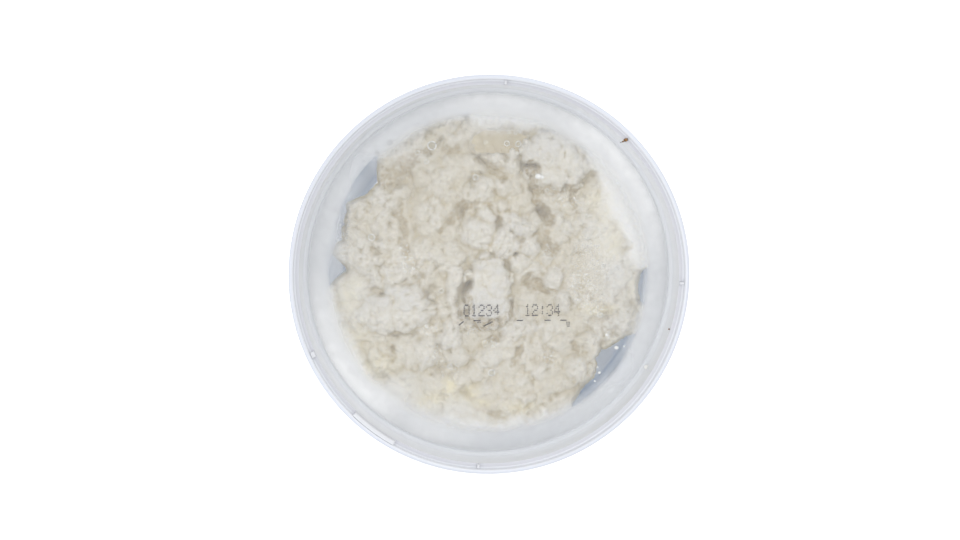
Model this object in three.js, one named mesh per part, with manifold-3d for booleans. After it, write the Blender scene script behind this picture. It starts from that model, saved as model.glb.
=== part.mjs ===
// A round plastic tub of fresh ricotta with its clear lid pressed on.
// Millimetres, +Z up. The tub stands on its foot ring, and the origin is the middle of that ring.

import * as THREE from 'three';
import { mergeVertices } from 'three/addons/utils/BufferGeometryUtils.js';
import Module from 'manifold-3d';

const wasm = await Module();
wasm.setup();

// Whole pack
const packRadius = 55;
const packHeight = 57;
const roundSteps = 64;

// Tub: foot ring, tapered wall, shoulder and neck
const tubWall = 0.8;
const footHollow = 1;
const footInnerRadius = 34.6;
const footOuterRadius = 38.8;
const footCorner = 2.4;
const footArcFrom = -70;
const footArcTo = -12;
const wallFootRadius = footOuterRadius + footCorner;
const wallTopRadius = 47.1;
const wallTop = 44.6;
const shoulderRadius = 52.9;
const shoulderTop = 46.6;
const neckWall = 0.7;
const neckFoot = 48;
const neckFootRadius = 53.5;
const neckTop = 54.3;
const neckTopRadius = 53.95;
const rimBead = 0.2;
const rimBeadHeight = 1.2;
const rimBeadFoot = 0.6;

// Lid: sheet, panel, recess wall, ledge over the tub's rim, raised bead and skirt
const lidSheet = 0.6;
const panelTop = 48.5;
const recessFootRadius = 51.9;
const recessCorner = 0.9;
const recessDraft = 4;
const ledgeTop = 55;
const ledgeInnerRadius = 52.4;
const beadInnerRadius = 53.75;
const beadRound = 0.5;
const skirtBottom = 49.4;
const snapRib = 0.25;
const snapRibFoot = 0.4;
const snapRibHalf = 0.8;
const gateRadius = 0.8;
const gateShoulder = 0.3;
const gateHeight = 0.5;

// Lifting tab in the bead, and the small moulded stops across the ledge
const tabFrom = 225;
const tabTo = 240;
const tabDrop = 0.25;
const stopHeight = 1.1;
const stopInset = 0.05;
const stopSunk = 0.3;
const stopOverlap = 0.5;
const stops = [
  { angle: 203.5, width: 2.2 },
  { angle: 266.5, width: 0.8 },
  { angle: 358, width: 1 },
  { angle: 85.5, width: 0.8 },
];

// Label: a band wrapped round the tapered wall
const labelThickness = 0.3;
const labelGap = 0.1;
const labelBottom = 7.5;
const labelTop = 43.6;

// Ricotta
const restGap = 0.1;
const fillGap = 0.3;
const lidContact = 47.5;
const brimLevel = 45.2;
const curdFloor = 44.4;
const discRings = 30;
const sideRings = 5;
const sideTurn = 7;
const pullFrom = 0.65;
const sideTurnIn = 0.28;
const edgeRounding = 2.6;
const edgeDrop = 1.8;
const brimSlope = 6;
const brimFlat = 1;
const brimBlendFrom = 3.5;
const brimBlendTo = 0.5;
const backLeast = 0.2;
const backFully = 1.6;

const radians = THREE.MathUtils.degToRad;
const lerp = THREE.MathUtils.lerp;
const smoothstep = THREE.MathUtils.smoothstep;
const weldDistance = 1e-5;
const sectorSteps = 5;

// ---------- helpers ----------

function lathe(profile) {
  return new THREE.LatheGeometry(profile, roundSteps).rotateX(Math.PI / 2);
}

// Points of a quarter-round or shorter arc from one heading to another, in degrees.
function arc(x, y, radius, from, to, steps = 2) {
  return Array.from({ length: steps + 1 }, (_, i) => {
    const a = radians(lerp(from, to, i / steps));
    return new THREE.Vector2(x + radius * Math.cos(a), y + radius * Math.sin(a));
  });
}

function toSolid(geometry) {
  geometry.deleteAttribute('normal');
  geometry.deleteAttribute('uv');
  const merged = mergeVertices(geometry, weldDistance);
  return new wasm.Manifold(new wasm.Mesh({
    numProp: 3,
    vertProperties: new Float32Array(merged.attributes.position.array),
    triVerts: new Uint32Array(merged.index.array),
  }));
}

function toGeometry(solid) {
  const mesh = solid.getMesh();
  const geometry = new THREE.BufferGeometry();
  geometry.setAttribute('position', new THREE.BufferAttribute(new Float32Array(mesh.vertProperties), 3));
  geometry.setIndex(new THREE.BufferAttribute(new Uint32Array(mesh.triVerts), 1));
  geometry.computeVertexNormals();
  return geometry;
}

function material(hex, roughness, opacity = 1) {
  return new THREE.MeshStandardMaterial({
    color: new THREE.Color(hex), roughness, metalness: 0, opacity, transparent: opacity < 1,
  });
}

// ---------- tub ----------

// Outer radius of the tapered wall at a height.
function wallRadius(z) {
  return lerp(wallFootRadius, wallTopRadius, (z - footCorner) / (wallTop - footCorner));
}

function tubGeometry() {
  const floorTop = footHollow + tubWall;
  const insideFloorRadius = wallRadius(floorTop + footCorner) - tubWall - footCorner;
  return lathe([
    // underside, from the middle out, and up the outside
    new THREE.Vector2(0, footHollow),
    new THREE.Vector2(footInnerRadius - footHollow, footHollow),
    new THREE.Vector2(footInnerRadius, 0),
    new THREE.Vector2(footOuterRadius, 0),
    ...arc(footOuterRadius, footCorner, footCorner, footArcFrom, footArcTo),
    new THREE.Vector2(wallFootRadius, footCorner),
    new THREE.Vector2(wallTopRadius, wallTop),
    new THREE.Vector2(shoulderRadius, shoulderTop),
    new THREE.Vector2(neckFootRadius, neckFoot),
    new THREE.Vector2(neckTopRadius, neckTop - rimBeadHeight - rimBeadFoot),
    new THREE.Vector2(neckTopRadius + rimBead, neckTop - rimBeadHeight),
    new THREE.Vector2(neckTopRadius + rimBead, neckTop),
    // over the rim and down the inside
    new THREE.Vector2(neckTopRadius - neckWall, neckTop),
    new THREE.Vector2(neckFootRadius - neckWall, neckFoot),
    new THREE.Vector2(shoulderRadius - neckWall, shoulderTop + tubWall),
    new THREE.Vector2(wallTopRadius - tubWall, wallTop + tubWall),
    ...arc(insideFloorRadius, floorTop + footCorner, footCorner, footArcTo, -90),
    new THREE.Vector2(0, floorTop),
  ]);
}

// ---------- lid ----------

function ringSector(innerRadius, outerRadius, from, to, bottom, top) {
  const shape = new THREE.Shape();
  shape.absarc(0, 0, outerRadius, radians(from), radians(to), false);
  shape.absarc(0, 0, innerRadius, radians(to), radians(from), true);
  shape.closePath();
  const body = new THREE.ExtrudeGeometry(shape, {
    depth: top - bottom,
    bevelEnabled: false,
    curveSegments: sectorSteps,
  });
  return body.translate(0, 0, bottom);
}

function lidGeometry() {
  const skirtInner = packRadius - lidSheet;
  const ledgeUnder = ledgeTop - lidSheet;
  const shell = lathe([
    // underside, from the middle out to the skirt
    new THREE.Vector2(0, panelTop - lidSheet),
    ...arc(recessFootRadius - recessCorner, panelTop + recessCorner,
      recessCorner + lidSheet, -90, -recessDraft),
    new THREE.Vector2(ledgeInnerRadius + lidSheet, ledgeUnder),
    new THREE.Vector2(skirtInner, ledgeUnder),
    new THREE.Vector2(skirtInner, skirtBottom + snapRibFoot + 2 * snapRibHalf),
    new THREE.Vector2(skirtInner - snapRib, skirtBottom + snapRibFoot + snapRibHalf),
    new THREE.Vector2(skirtInner, skirtBottom + snapRibFoot),
    new THREE.Vector2(skirtInner, skirtBottom),
    // up the outside, over the bead and ledge, and down into the recess
    new THREE.Vector2(packRadius, skirtBottom),
    ...arc(packRadius - beadRound, packHeight - beadRound, beadRound, 0, 90),
    ...arc(beadInnerRadius + beadRound, packHeight - beadRound, beadRound, 90, 180),
    new THREE.Vector2(beadInnerRadius, ledgeTop),
    new THREE.Vector2(ledgeInnerRadius, ledgeTop),
    ...arc(recessFootRadius - recessCorner, panelTop + recessCorner, recessCorner, -recessDraft, -90),
    new THREE.Vector2(gateRadius, panelTop),
    new THREE.Vector2(gateRadius, panelTop + gateShoulder),
    new THREE.Vector2(0, panelTop + gateHeight),
  ]);
  const inner = ledgeInnerRadius + stopInset;
  const outer = beadInnerRadius + stopOverlap;
  const sunk = ledgeTop - stopSunk;
  let lid = toSolid(shell);
  lid = lid.add(toSolid(ringSector(inner, outer, tabFrom, tabTo, sunk, packHeight - tabDrop)));
  for (const { angle, width } of stops) {
    const half = THREE.MathUtils.radToDeg(width / 2 / ledgeInnerRadius);
    const stop = ringSector(inner, outer, angle - half, angle + half, sunk, ledgeTop + stopHeight);
    lid = lid.add(toSolid(stop));
  }
  return toGeometry(lid);
}

// ---------- label ----------

function labelGeometry() {
  const inner = (z) => wallRadius(z) + labelGap;
  return lathe([
    new THREE.Vector2(inner(labelBottom), labelBottom),
    new THREE.Vector2(inner(labelBottom) + labelThickness, labelBottom),
    new THREE.Vector2(inner(labelTop) + labelThickness, labelTop),
    new THREE.Vector2(inner(labelTop), labelTop),
    new THREE.Vector2(inner(labelBottom), labelBottom),
  ]);
}

// ---------- ricotta ----------

// Where the mass stands back from the wall: angle, half width in degrees, and depth in millimetres.
const gaps = [
  { angle: 99, half: 5, depth: 1.3 },
  { angle: 112.7, half: 3, depth: 1.2 },
  { angle: 144, half: 15, depth: 5.9 },
  { angle: 161, half: 22, depth: 3 },
  { angle: 178.5, half: 8, depth: 6.1 },
  { angle: 312, half: 13, depth: 3.5 },
  { angle: 326, half: 21, depth: 5.3 },
  { angle: 355, half: 9, depth: 3.2 },
];

// How far the lumps spread past their stated size, and how tall their domes are.
const lumpSpread = 1.14;
const domeHeight = 0.75;
const widestDome = 5;

// Lumps of curd, in loose rows from the back to the front: middle x and y, half length and half width,
// turn in degrees, drop below the lid, and how square the dome is (2 is round, 8 is pressed flat).
const lumps = [
  [-14.4, 43.4, 3.5, 2.5, 0, 3.4, 2],
  [-22.9, 37.4, 6.2, 4.4, 10, 3, 2],
  [-11.4, 39.4, 6, 3.7, 0, 2.5, 2],
  [20.1, 32.4, 9.4, 8.2, 0, 0.6, 6],
  [2.1, 32.9, 4.3, 3.4, -20, 2, 2],
  [-5.4, 30.9, 5.1, 2.6, -28, 1.5, 2],
  [7.1, 30.9, 3.4, 4.8, 10, 2, 2],
  [-26.9, 31.4, 3.7, 2.8, -30, 3.4, 2],
  [-13.9, 26.4, 8.5, 5.7, 0, 1.8, 2],
  [-24.9, 22.9, 2.6, 2.3, 0, 1.4, 2],
  [-1.9, 23.4, 4, 4, 0, 0.6, 2],
  [4.1, 24.4, 3.4, 3.1, 0, 1, 2],
  [10.1, 21.4, 4.8, 4.8, 0, 3.2, 2],
  [4.1, 19.9, 2.8, 2.6, 0, 1.4, 2],
  [20.6, 14.4, 4.3, 9.7, 5, 1.8, 2],
  [29.1, 7.9, 6.2, 8, 0, 2.2, 2],
  [-17.9, 15.9, 6.2, 7.4, 0, 1.6, 2],
  [-32.4, 14.4, 5.7, 10.8, 5, 2.2, 2],
  [-0.4, 17.4, 2.8, 3.4, 0, 0.8, 2],
  [8.6, 13.4, 6.2, 2.8, -38, 0.8, 2],
  [-2.4, 11.4, 5.7, 5.1, 0, 0.5, 2],
  [4.6, 8.4, 5.1, 5.7, 0, 0.5, 2],
  [12.1, 7.9, 4, 4, 0, 0.9, 2],
  [16.6, 4.9, 2.8, 3.4, 0, 1.4, 2],
  [-31.4, 7.9, 3.7, 3.4, 0, 1.7, 2],
  [-19.4, 6.4, 5.1, 4.5, 0, 1.8, 2],
  [8.6, 2.9, 3.1, 2.8, 0, 0.9, 2],
  [0.1, -5.1, 6, 9.4, 0, 0.4, 8],
  [18.1, -2.1, 2.8, 6, -5, 1.2, 2],
  [11.1, -7.6, 3.7, 5.1, 0, 1.2, 2],
  [21.1, -8.6, 2.8, 4, 0, 1.4, 2],
  [-9.4, -4.6, 2.3, 8.5, 0, 1.2, 2],
  [-24.9, -0.6, 6.2, 5.1, 0, 1.4, 2],
  [31.6, -4.6, 8.5, 7.4, 0, 2.4, 3],
  [-26.4, -10.6, 10.8, 6.8, 15, 0.9, 4],
  [35.1, -15.1, 3.4, 2.8, 0, 2.3, 2],
  [9.1, -16.1, 7.4, 2.8, 8, 1.3, 2],
  [-34.9, -16.1, 5.7, 5.7, 0, 2, 2],
  [19.1, -16.1, 5.7, 5.1, 0, 1.5, 2],
  [29.1, -19.1, 5.7, 5.1, 0, 2, 2],
  [-10.9, -18.1, 4.3, 5.1, 0, 0.9, 2],
  [-17.9, -22.6, 5.1, 6.8, 0, 1.3, 2],
  [2.6, -22.6, 8.5, 4.3, 22, 0.8, 2],
  [-8.9, -24.1, 3.7, 3.4, 0, 1.1, 2],
  [16.1, -28.1, 7.4, 6.2, 0, 1.7, 2],
  [24.6, -27.6, 5.1, 6.2, 0, 1.8, 2],
  [-6.4, -29.6, 6.2, 4.5, 0, 1.6, 2],
  [-23.4, -29.1, 7.4, 5.1, -20, 2.4, 2],
  [6.1, -36.6, 9.1, 4.8, 5, 1.8, 2],
  [-13.9, -37.1, 6.2, 3.4, 0, 2.8, 2],
];

// Clefts between the lumps: from x and y, to x and y, half width and depth.
const cleftSpread = 1.8;
const clefts = [
  [-28.4, 25.4, -22.9, 31.4, 2, 1.4],
  [-21.4, 32.4, -17.9, 34.4, 1.6, 1.4],
  [-12.9, 12.9, -6.9, 19.4, 1.8, 2.1],
  [12.6, 29.9, 13.6, 23.9, 1.6, 2.1],
  [13.6, 23.4, 16.1, 14.4, 2, 2.8],
  [16.6, 23.4, 24.6, 24.9, 1.6, 2.1],
  [12.1, -2.6, 16.6, -5.6, 1.8, 2.1],
  [-6.9, -1.6, -6.4, -12.6, 1.4, 1],
  [-2.9, -14.6, 4.1, -13.1, 1.5, 1.8],
  [-24.9, 19.4, -23.4, 3.4, 1.5, 1.4],
  [10.1, -21.6, 6.6, -27.1, 1.4, 1.4],
  [-6.4, -33.6, 1.6, -41.1, 1.4, 1],
];

// Small curds scattered over the lumps, evenly spread by the golden angle and moved a little at random.
const curdCount = 230;
const curdReach = 43;
const curdRelief = 0.9;
const curdSunk = 0.7;
const smallestCurd = 1.5;
const curdRange = 1.3;
const curdSeed = 41;
const curds = scatterCurds();

// A seeded generator of even random numbers from 0 to 1.
function seededRandom(seed) {
  const factor = 1664525;
  const step = 1013904223;
  const range = 2 ** 32;
  let state = seed;
  return () => {
    state = (state * factor + step) % range;
    return state / range;
  };
}

function scatterCurds() {
  const random = seededRandom(curdSeed);
  const goldenAngle = Math.PI * (3 - Math.sqrt(5));
  return Array.from({ length: curdCount }, (_, i) => {
    const reach = curdReach * Math.sqrt((i + 0.5) / curdCount);
    const x = reach * Math.cos(i * goldenAngle) + random() - 0.5;
    const y = reach * Math.sin(i * goldenAngle) + random() - 0.5;
    return { x, y, radius: smallestCurd + curdRange * random() };
  });
}

// One at the middle, falling smoothly to nothing at one.
function bump(t) {
  return Math.abs(t) < 1 ? (1 - t * t) ** 2 : 0;
}

function fillRadius(z) {
  return wallRadius(z) - tubWall - fillGap;
}

// How far out the top of the mass reaches in a direction.
function massReach(angle) {
  const full = fillRadius(brimLevel);
  return Math.min(...gaps.map((gap) => {
    const away = THREE.MathUtils.euclideanModulo(angle - gap.angle + 180, 360) - 180;
    return full - gap.depth * bump(away / gap.half);
  }));
}

// Level of the highest lump over a point.
function lumpLevel(x, y) {
  return lumps.reduce((level, [cx, cy, half, side, turn, drop, square]) => {
    const a = radians(turn);
    const u = ((x - cx) * Math.cos(a) + (y - cy) * Math.sin(a)) / (half * lumpSpread);
    const v = ((y - cy) * Math.cos(a) - (x - cx) * Math.sin(a)) / (side * lumpSpread);
    const d = Math.hypot(u, v);
    if (d >= 1) return level;
    const fall = Math.min(half, side, widestDome) * domeHeight;
    return Math.max(level, lidContact - drop - fall * (1 - Math.sqrt(1 - d ** square)));
  }, curdFloor);
}

function cleftDepth(x, y) {
  return clefts.reduce((depth, [x0, y0, x1, y1, half, deep]) => {
    const along = ((x - x0) * (x1 - x0) + (y - y0) * (y1 - y0)) / ((x1 - x0) ** 2 + (y1 - y0) ** 2);
    const t = THREE.MathUtils.clamp(along, 0, 1);
    const away = Math.hypot(x - lerp(x0, x1, t), y - lerp(y0, y1, t));
    return Math.max(depth, deep * bump(away / half / cleftSpread));
  }, 0);
}

function curdHeight(x, y) {
  return curds.reduce((height, curd) => {
    const d = Math.hypot(x - curd.x, y - curd.y) / curd.radius;
    return d < 1 ? Math.max(height, curdRelief * Math.sqrt(1 - d * d)) : height;
  }, 0);
}

function topLevel(x, y, reach) {
  const r = Math.hypot(x, y);
  const full = fillRadius(brimLevel);
  const standsBack = smoothstep(full - reach, backLeast, backFully);
  const brim = lerp(curdFloor, brimLevel, smoothstep(r, full - brimSlope, full - brimFlat));
  const grown = lumpLevel(x, y) - curdRelief * curdSunk + curdHeight(x, y);
  const curd = Math.min(grown, lidContact) - cleftDepth(x, y);
  const edge = smoothstep(r, reach - edgeRounding, reach);
  const loose = curd - edgeDrop * edge * edge;
  const nearWall = smoothstep(r, full - brimBlendFrom, full - brimBlendTo);
  const smooth = lerp(Math.max(curd, brim), brimLevel, nearWall);
  return lerp(smooth, loose, standsBack);
}

// A disc of rings, ring k with 6k points, so that its triangles are all of one size.
function discFaces(rings) {
  const first = (ring) => (ring === 0 ? 0 : 1 + 3 * ring * (ring - 1));
  const at = (ring, i) => (ring === 0 ? 0 : first(ring) + (i % (6 * ring)));
  const faces = [];
  for (let ring = 0; ring < rings; ring += 1) {
    for (let sector = 0; sector < 6; sector += 1) {
      for (let i = 0; i <= ring; i += 1) {
        const inner = sector * ring + i;
        const outer = sector * (ring + 1) + i;
        faces.push(at(ring, inner), at(ring + 1, outer), at(ring + 1, outer + 1));
        if (i < ring) faces.push(at(ring, inner), at(ring + 1, outer + 1), at(ring, inner + 1));
      }
    }
  }
  return faces;
}

function ricottaGeometry() {
  const floor = footHollow + tubWall + restGap;
  const full = fillRadius(brimLevel);
  const positions = [0, 0, topLevel(0, 0, full)];
  const around = 6 * discRings;
  const brimPoints = [];
  for (let ring = 1; ring <= discRings; ring += 1) {
    for (let i = 0; i < 6 * ring; i += 1) {
      const a = (i / (6 * ring)) * Math.PI * 2;
      const reach = massReach(THREE.MathUtils.radToDeg(a));
      const out = ring / discRings;
      const r = full * out - (full - reach) * smoothstep(out, pullFrom, 1);
      const x = r * Math.cos(a);
      const y = r * Math.sin(a);
      const z = topLevel(x, y, reach);
      positions.push(x, y, z);
      if (ring === discRings) brimPoints.push({ a, reach, z });
    }
  }
  const faces = discFaces(discRings);
  let above = positions.length / 3 - around;
  for (let side = 1; side <= sideRings; side += 1) {
    const below = positions.length / 3;
    for (const { a, reach, z: top } of brimPoints) {
      const z = lerp(top, floor, side / sideRings);
      const corner = Math.max(0, sideTurn - (z - floor)) * sideTurnIn;
      const r = Math.min(reach, fillRadius(z)) - corner;
      positions.push(r * Math.cos(a), r * Math.sin(a), z);
    }
    for (let i = 0; i < around; i += 1) {
      const next = (i + 1) % around;
      faces.push(above + i, below + i, below + next, above + i, below + next, above + next);
    }
    above = below;
  }
  const middle = positions.length / 3;
  positions.push(0, 0, floor);
  for (let i = 0; i < around; i += 1) faces.push(above + i, middle, above + ((i + 1) % around));
  const geometry = new THREE.BufferGeometry();
  geometry.setAttribute('position', new THREE.Float32BufferAttribute(positions, 3));
  geometry.setIndex(faces);
  geometry.computeVertexNormals();
  return geometry;
}

// ---------- the pack ----------

const pack = new THREE.Group();
pack.name = 'ricotta_tub';

function addPiece(name, geometry, finish) {
  const piece = new THREE.Mesh(geometry, finish);
  piece.name = name;
  pack.add(piece);
}

addPiece('tub', tubGeometry(), material('#e6ebf0', 0.35, 0.5));
addPiece('label', labelGeometry(), material('#a9bfdc', 0.45));
addPiece('ricotta', ricottaGeometry(), material('#e3dfd3', 0.6));
addPiece('lid', lidGeometry(), material('#e4edf6', 0.2, 0.35));

export default pack;
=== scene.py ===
import math

import bmesh
import bpy
import numpy as np
from mathutils import Matrix, Vector


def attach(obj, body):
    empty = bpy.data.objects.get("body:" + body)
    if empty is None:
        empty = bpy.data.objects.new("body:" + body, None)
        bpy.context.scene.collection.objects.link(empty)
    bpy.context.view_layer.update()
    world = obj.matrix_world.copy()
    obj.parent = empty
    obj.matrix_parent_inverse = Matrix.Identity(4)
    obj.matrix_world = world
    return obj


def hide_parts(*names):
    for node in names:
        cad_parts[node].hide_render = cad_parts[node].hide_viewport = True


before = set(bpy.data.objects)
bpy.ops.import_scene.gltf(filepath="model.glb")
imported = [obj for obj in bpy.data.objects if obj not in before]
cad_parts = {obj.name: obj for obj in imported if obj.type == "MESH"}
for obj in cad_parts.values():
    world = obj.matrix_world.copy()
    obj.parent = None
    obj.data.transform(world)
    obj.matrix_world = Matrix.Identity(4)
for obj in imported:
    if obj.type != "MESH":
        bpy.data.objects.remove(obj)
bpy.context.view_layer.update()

# ---------- Tub ----------
# One piece of milky polypropylene, injection moulded: a foot ring, a tapered wall, a shoulder that steps
# out under the lid, and a neck whose small bead holds the lid down. Sizes are in millimetres.

MM = 0.001
TUB_ROUND_STEPS = 192
TUB_WALL = 0.8
TUB_FLOOR = 1.8
TUB_FOOT = (38.8, 0.0)
TUB_WALL_FOOT = (41.2, 2.4)
TUB_WALL_TOP = (47.1, 44.6)
TUB_SHOULDER = (52.9, 46.6)
TUB_OUTLINE = [
    # underside, then up the outside
    (0, 1), (33.6, 1), (34.6, 0), TUB_FOOT, (40.4, 0.5), TUB_WALL_FOOT, TUB_WALL_TOP, TUB_SHOULDER,
    (53.5, 48), (53.95, 52.5), (54.15, 53.1), (54.15, 54.3),
    # over the rim, then down the inside to the floor
    (53.25, 54.3), (52.8, 48), (52.2, 47.4), (46.3, 45.4), (40.6, 3.7), (40, 2.3), (38.3, TUB_FLOOR),
    (0, TUB_FLOOR),
]
TUB_CORNER = 0.22
MILKY_WHITE = (0.77, 0.785, 0.815, 1)
MILKY_GREY = (0.72, 0.74, 0.775, 1)
WALL_OPACITY = 0.36
SHOULDER_OPACITY = 0.86
# heights between which the wall turns milky
MILKY_FROM = 42.5
MILKY_TO = 45.2
# share of light from behind that shows in the milky wall
TUB_GLOW = 0.4


def piece_from(name, shape, finish, sharp_angle=35):
    """Turns a finished bmesh into a smooth-shaded object whose edges stay crisp past an angle."""
    mesh = bpy.data.meshes.new(name)
    shape.to_mesh(mesh)
    shape.free()
    mesh.materials.append(finish)
    mesh.polygons.foreach_set("use_smooth", [True] * len(mesh.polygons))
    mesh.set_sharp_from_angle(angle=math.radians(sharp_angle))
    piece = bpy.data.objects.new(name, mesh)
    bpy.context.scene.collection.objects.link(piece)
    return piece


def turned(outline, steps, corner=0.0, closed=False):
    """A wall or solid of revolution: an outline of radius and height, spun round the tub's axis."""
    shape = bmesh.new()
    points = [shape.verts.new((r * MM, 0, z * MM)) for r, z in outline]
    for start, end in zip(points, points[1:]):
        shape.edges.new((start, end))
    if closed:
        shape.edges.new((points[-1], points[0]))
    if corner:
        inner = [v for v in shape.verts if len(v.link_edges) == 2]
        bmesh.ops.bevel(
            shape, geom=inner, offset=corner * MM, segments=2, profile=0.5, affect="VERTICES", material=-1,
        )
    bmesh.ops.spin(
        shape, geom=shape.verts[:] + shape.edges[:], cent=(0, 0, 0), axis=(0, 0, 1),
        angle=2 * math.pi, steps=steps, use_merge=True,
    )
    bmesh.ops.remove_doubles(shape, verts=shape.verts, dist=1e-7)
    bmesh.ops.recalc_face_normals(shape, faces=shape.faces)
    return shape


def put(finish, kind, inputs=None, **settings):
    """Adds a node to a material. An input is a number, a colour, or another node's output."""
    made = finish.node_tree.nodes.new("ShaderNode" + kind)
    for name, value in settings.items():
        setattr(made, name, value)
    for name, value in (inputs or {}).items():
        if isinstance(value, bpy.types.NodeSocket):
            finish.node_tree.links.new(value, made.inputs[name])
        else:
            made.inputs[name].default_value = value
    return made


def new_finish(name):
    """An empty material, and the place on the piece that its patterns read."""
    finish = bpy.data.materials.new(name)
    finish.use_nodes = True
    finish.node_tree.nodes.clear()
    return finish, put(finish, "TexCoord").outputs["Object"]


def close_finish(finish, surface):
    put(finish, "OutputMaterial", {"Surface": surface})
    return finish


def spread(finish, value, low, high, to_low, to_high):
    """Maps a range of one number onto another, smoothly and clamped."""
    inputs = {0: value, 1: low, 2: high, 3: to_low, 4: to_high}
    return put(finish, "MapRange", inputs, interpolation_type="SMOOTHSTEP").outputs[0]


def part_of(finish, place, axis):
    return put(finish, "SeparateXYZ", {0: place}).outputs[axis]


def noise(finish, place, scale, detail, **more):
    return put(finish, "TexNoise", {"Vector": place, "Scale": scale, "Detail": detail, **more}).outputs["Fac"]


def mixed(finish, share, below, above):
    """Lays one colour over another by a share from nought to one."""
    return put(finish, "Mix", {"Factor": share, 6: below, 7: above}, data_type="RGBA").outputs[2]


def skin(finish, colour, roughness, height, strength, depth, more=None):
    """The surface itself: its colour, its gloss, and a fine relief that is some millimetres deep."""
    relief = put(finish, "Bump", {"Height": height, "Strength": strength, "Distance": depth * MM})
    inputs = {"Base Color": colour, "Roughness": roughness, "Normal": relief.outputs[0]}
    return put(finish, "BsdfPrincipled", inputs | (more or {})).outputs[0]


def blended(finish, share, first, second):
    return put(finish, "MixShader", {0: share, 1: first, 2: second}).outputs[0]


def milky_plastic():
    finish, place = new_finish("milky_plastic")
    height = part_of(finish, place, "Z")
    opacity = spread(finish, height, MILKY_FROM * MM, MILKY_TO * MM, WALL_OPACITY, SHOULDER_OPACITY)
    clouds = noise(finish, place, 70, 3)
    tint = mixed(finish, clouds, MILKY_GREY, MILKY_WHITE)
    roughness = spread(finish, clouds, 0.3, 0.7, 0.28, 0.42)
    surface = skin(finish, tint, roughness, noise(finish, place, 1800, 2), 0.06, 0.2)
    glow = put(finish, "BsdfTranslucent", {"Color": tint}).outputs[0]
    milk = blended(finish, TUB_GLOW, surface, glow)
    clear = put(finish, "BsdfTransparent").outputs[0]
    return close_finish(finish, blended(finish, opacity, clear, milk))


tub = piece_from("tub_body", turned(TUB_OUTLINE, TUB_ROUND_STEPS, corner=TUB_CORNER), milky_plastic())
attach(tub, "root")
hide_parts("tub")

# ---------- Label ----------
# A printed film band wrapped round the tapered wall, glued all over. Its print is plain: a pale blue field
# with two thin rules near the top, a pale wave, and a checked cloth pattern round the foot.

LABEL_BOTTOM = 7.5
LABEL_TOP = 43.6
LABEL_THICKNESS = 0.3
LABEL_GAP = 0.1
LABEL_BLUE = (0.74, 0.80, 0.87, 1)
LABEL_SHADE = (0.68, 0.75, 0.84, 1)
RULE_BLUE = (0.14, 0.36, 0.60, 1)
LABEL_WHITE = (0.85, 0.88, 0.92, 1)
RULES_AT = (41, 35.4)
RULE_WIDTH = 1
WAVE_LEVEL = 33.0
WAVE_HEIGHT = 1.6
WAVES_ROUND = 16
CHECKS_ROUND = 72
CHECK_TOP = 17.0
# how soft the printed edges are
PRINT_EDGE = 0.1
RULE_EDGE = 0.12
# the share of the light that the film lets through
LABEL_GLOW = 0.55


def wall_radius(z):
    """Outer radius of the tapered wall at a height, in millimetres."""
    (low_r, low_z), (high_r, high_z) = TUB_WALL_FOOT, TUB_WALL_TOP
    return low_r + (high_r - low_r) * (z - low_z) / (high_z - low_z)


def lay_band_uv(piece, bottom, top):
    """Unrolls the band: U once round it, V from its lower to its upper edge."""
    band = piece.data.uv_layers.new(name="band")
    for face in piece.data.polygons:
        turns = []
        for index in face.loop_indices:
            x, y, z = piece.data.vertices[piece.data.loops[index].vertex_index].co
            turns.append(math.atan2(y, x) / (2 * math.pi) % 1)
        wraps = max(turns) - min(turns) > 0.5
        for index, turn in zip(face.loop_indices, turns):
            z = piece.data.vertices[piece.data.loops[index].vertex_index].co.z
            u = turn + 1 if wraps and turn < 0.5 else turn
            band.data[index].uv = (u, (z / MM - bottom) / (top - bottom))


def reckoned(finish, operation, *values, **settings):
    """One step of arithmetic on numbers and other nodes' outputs."""
    return put(finish, "Math", dict(enumerate(values)), operation=operation, **settings).outputs[0]


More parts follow.
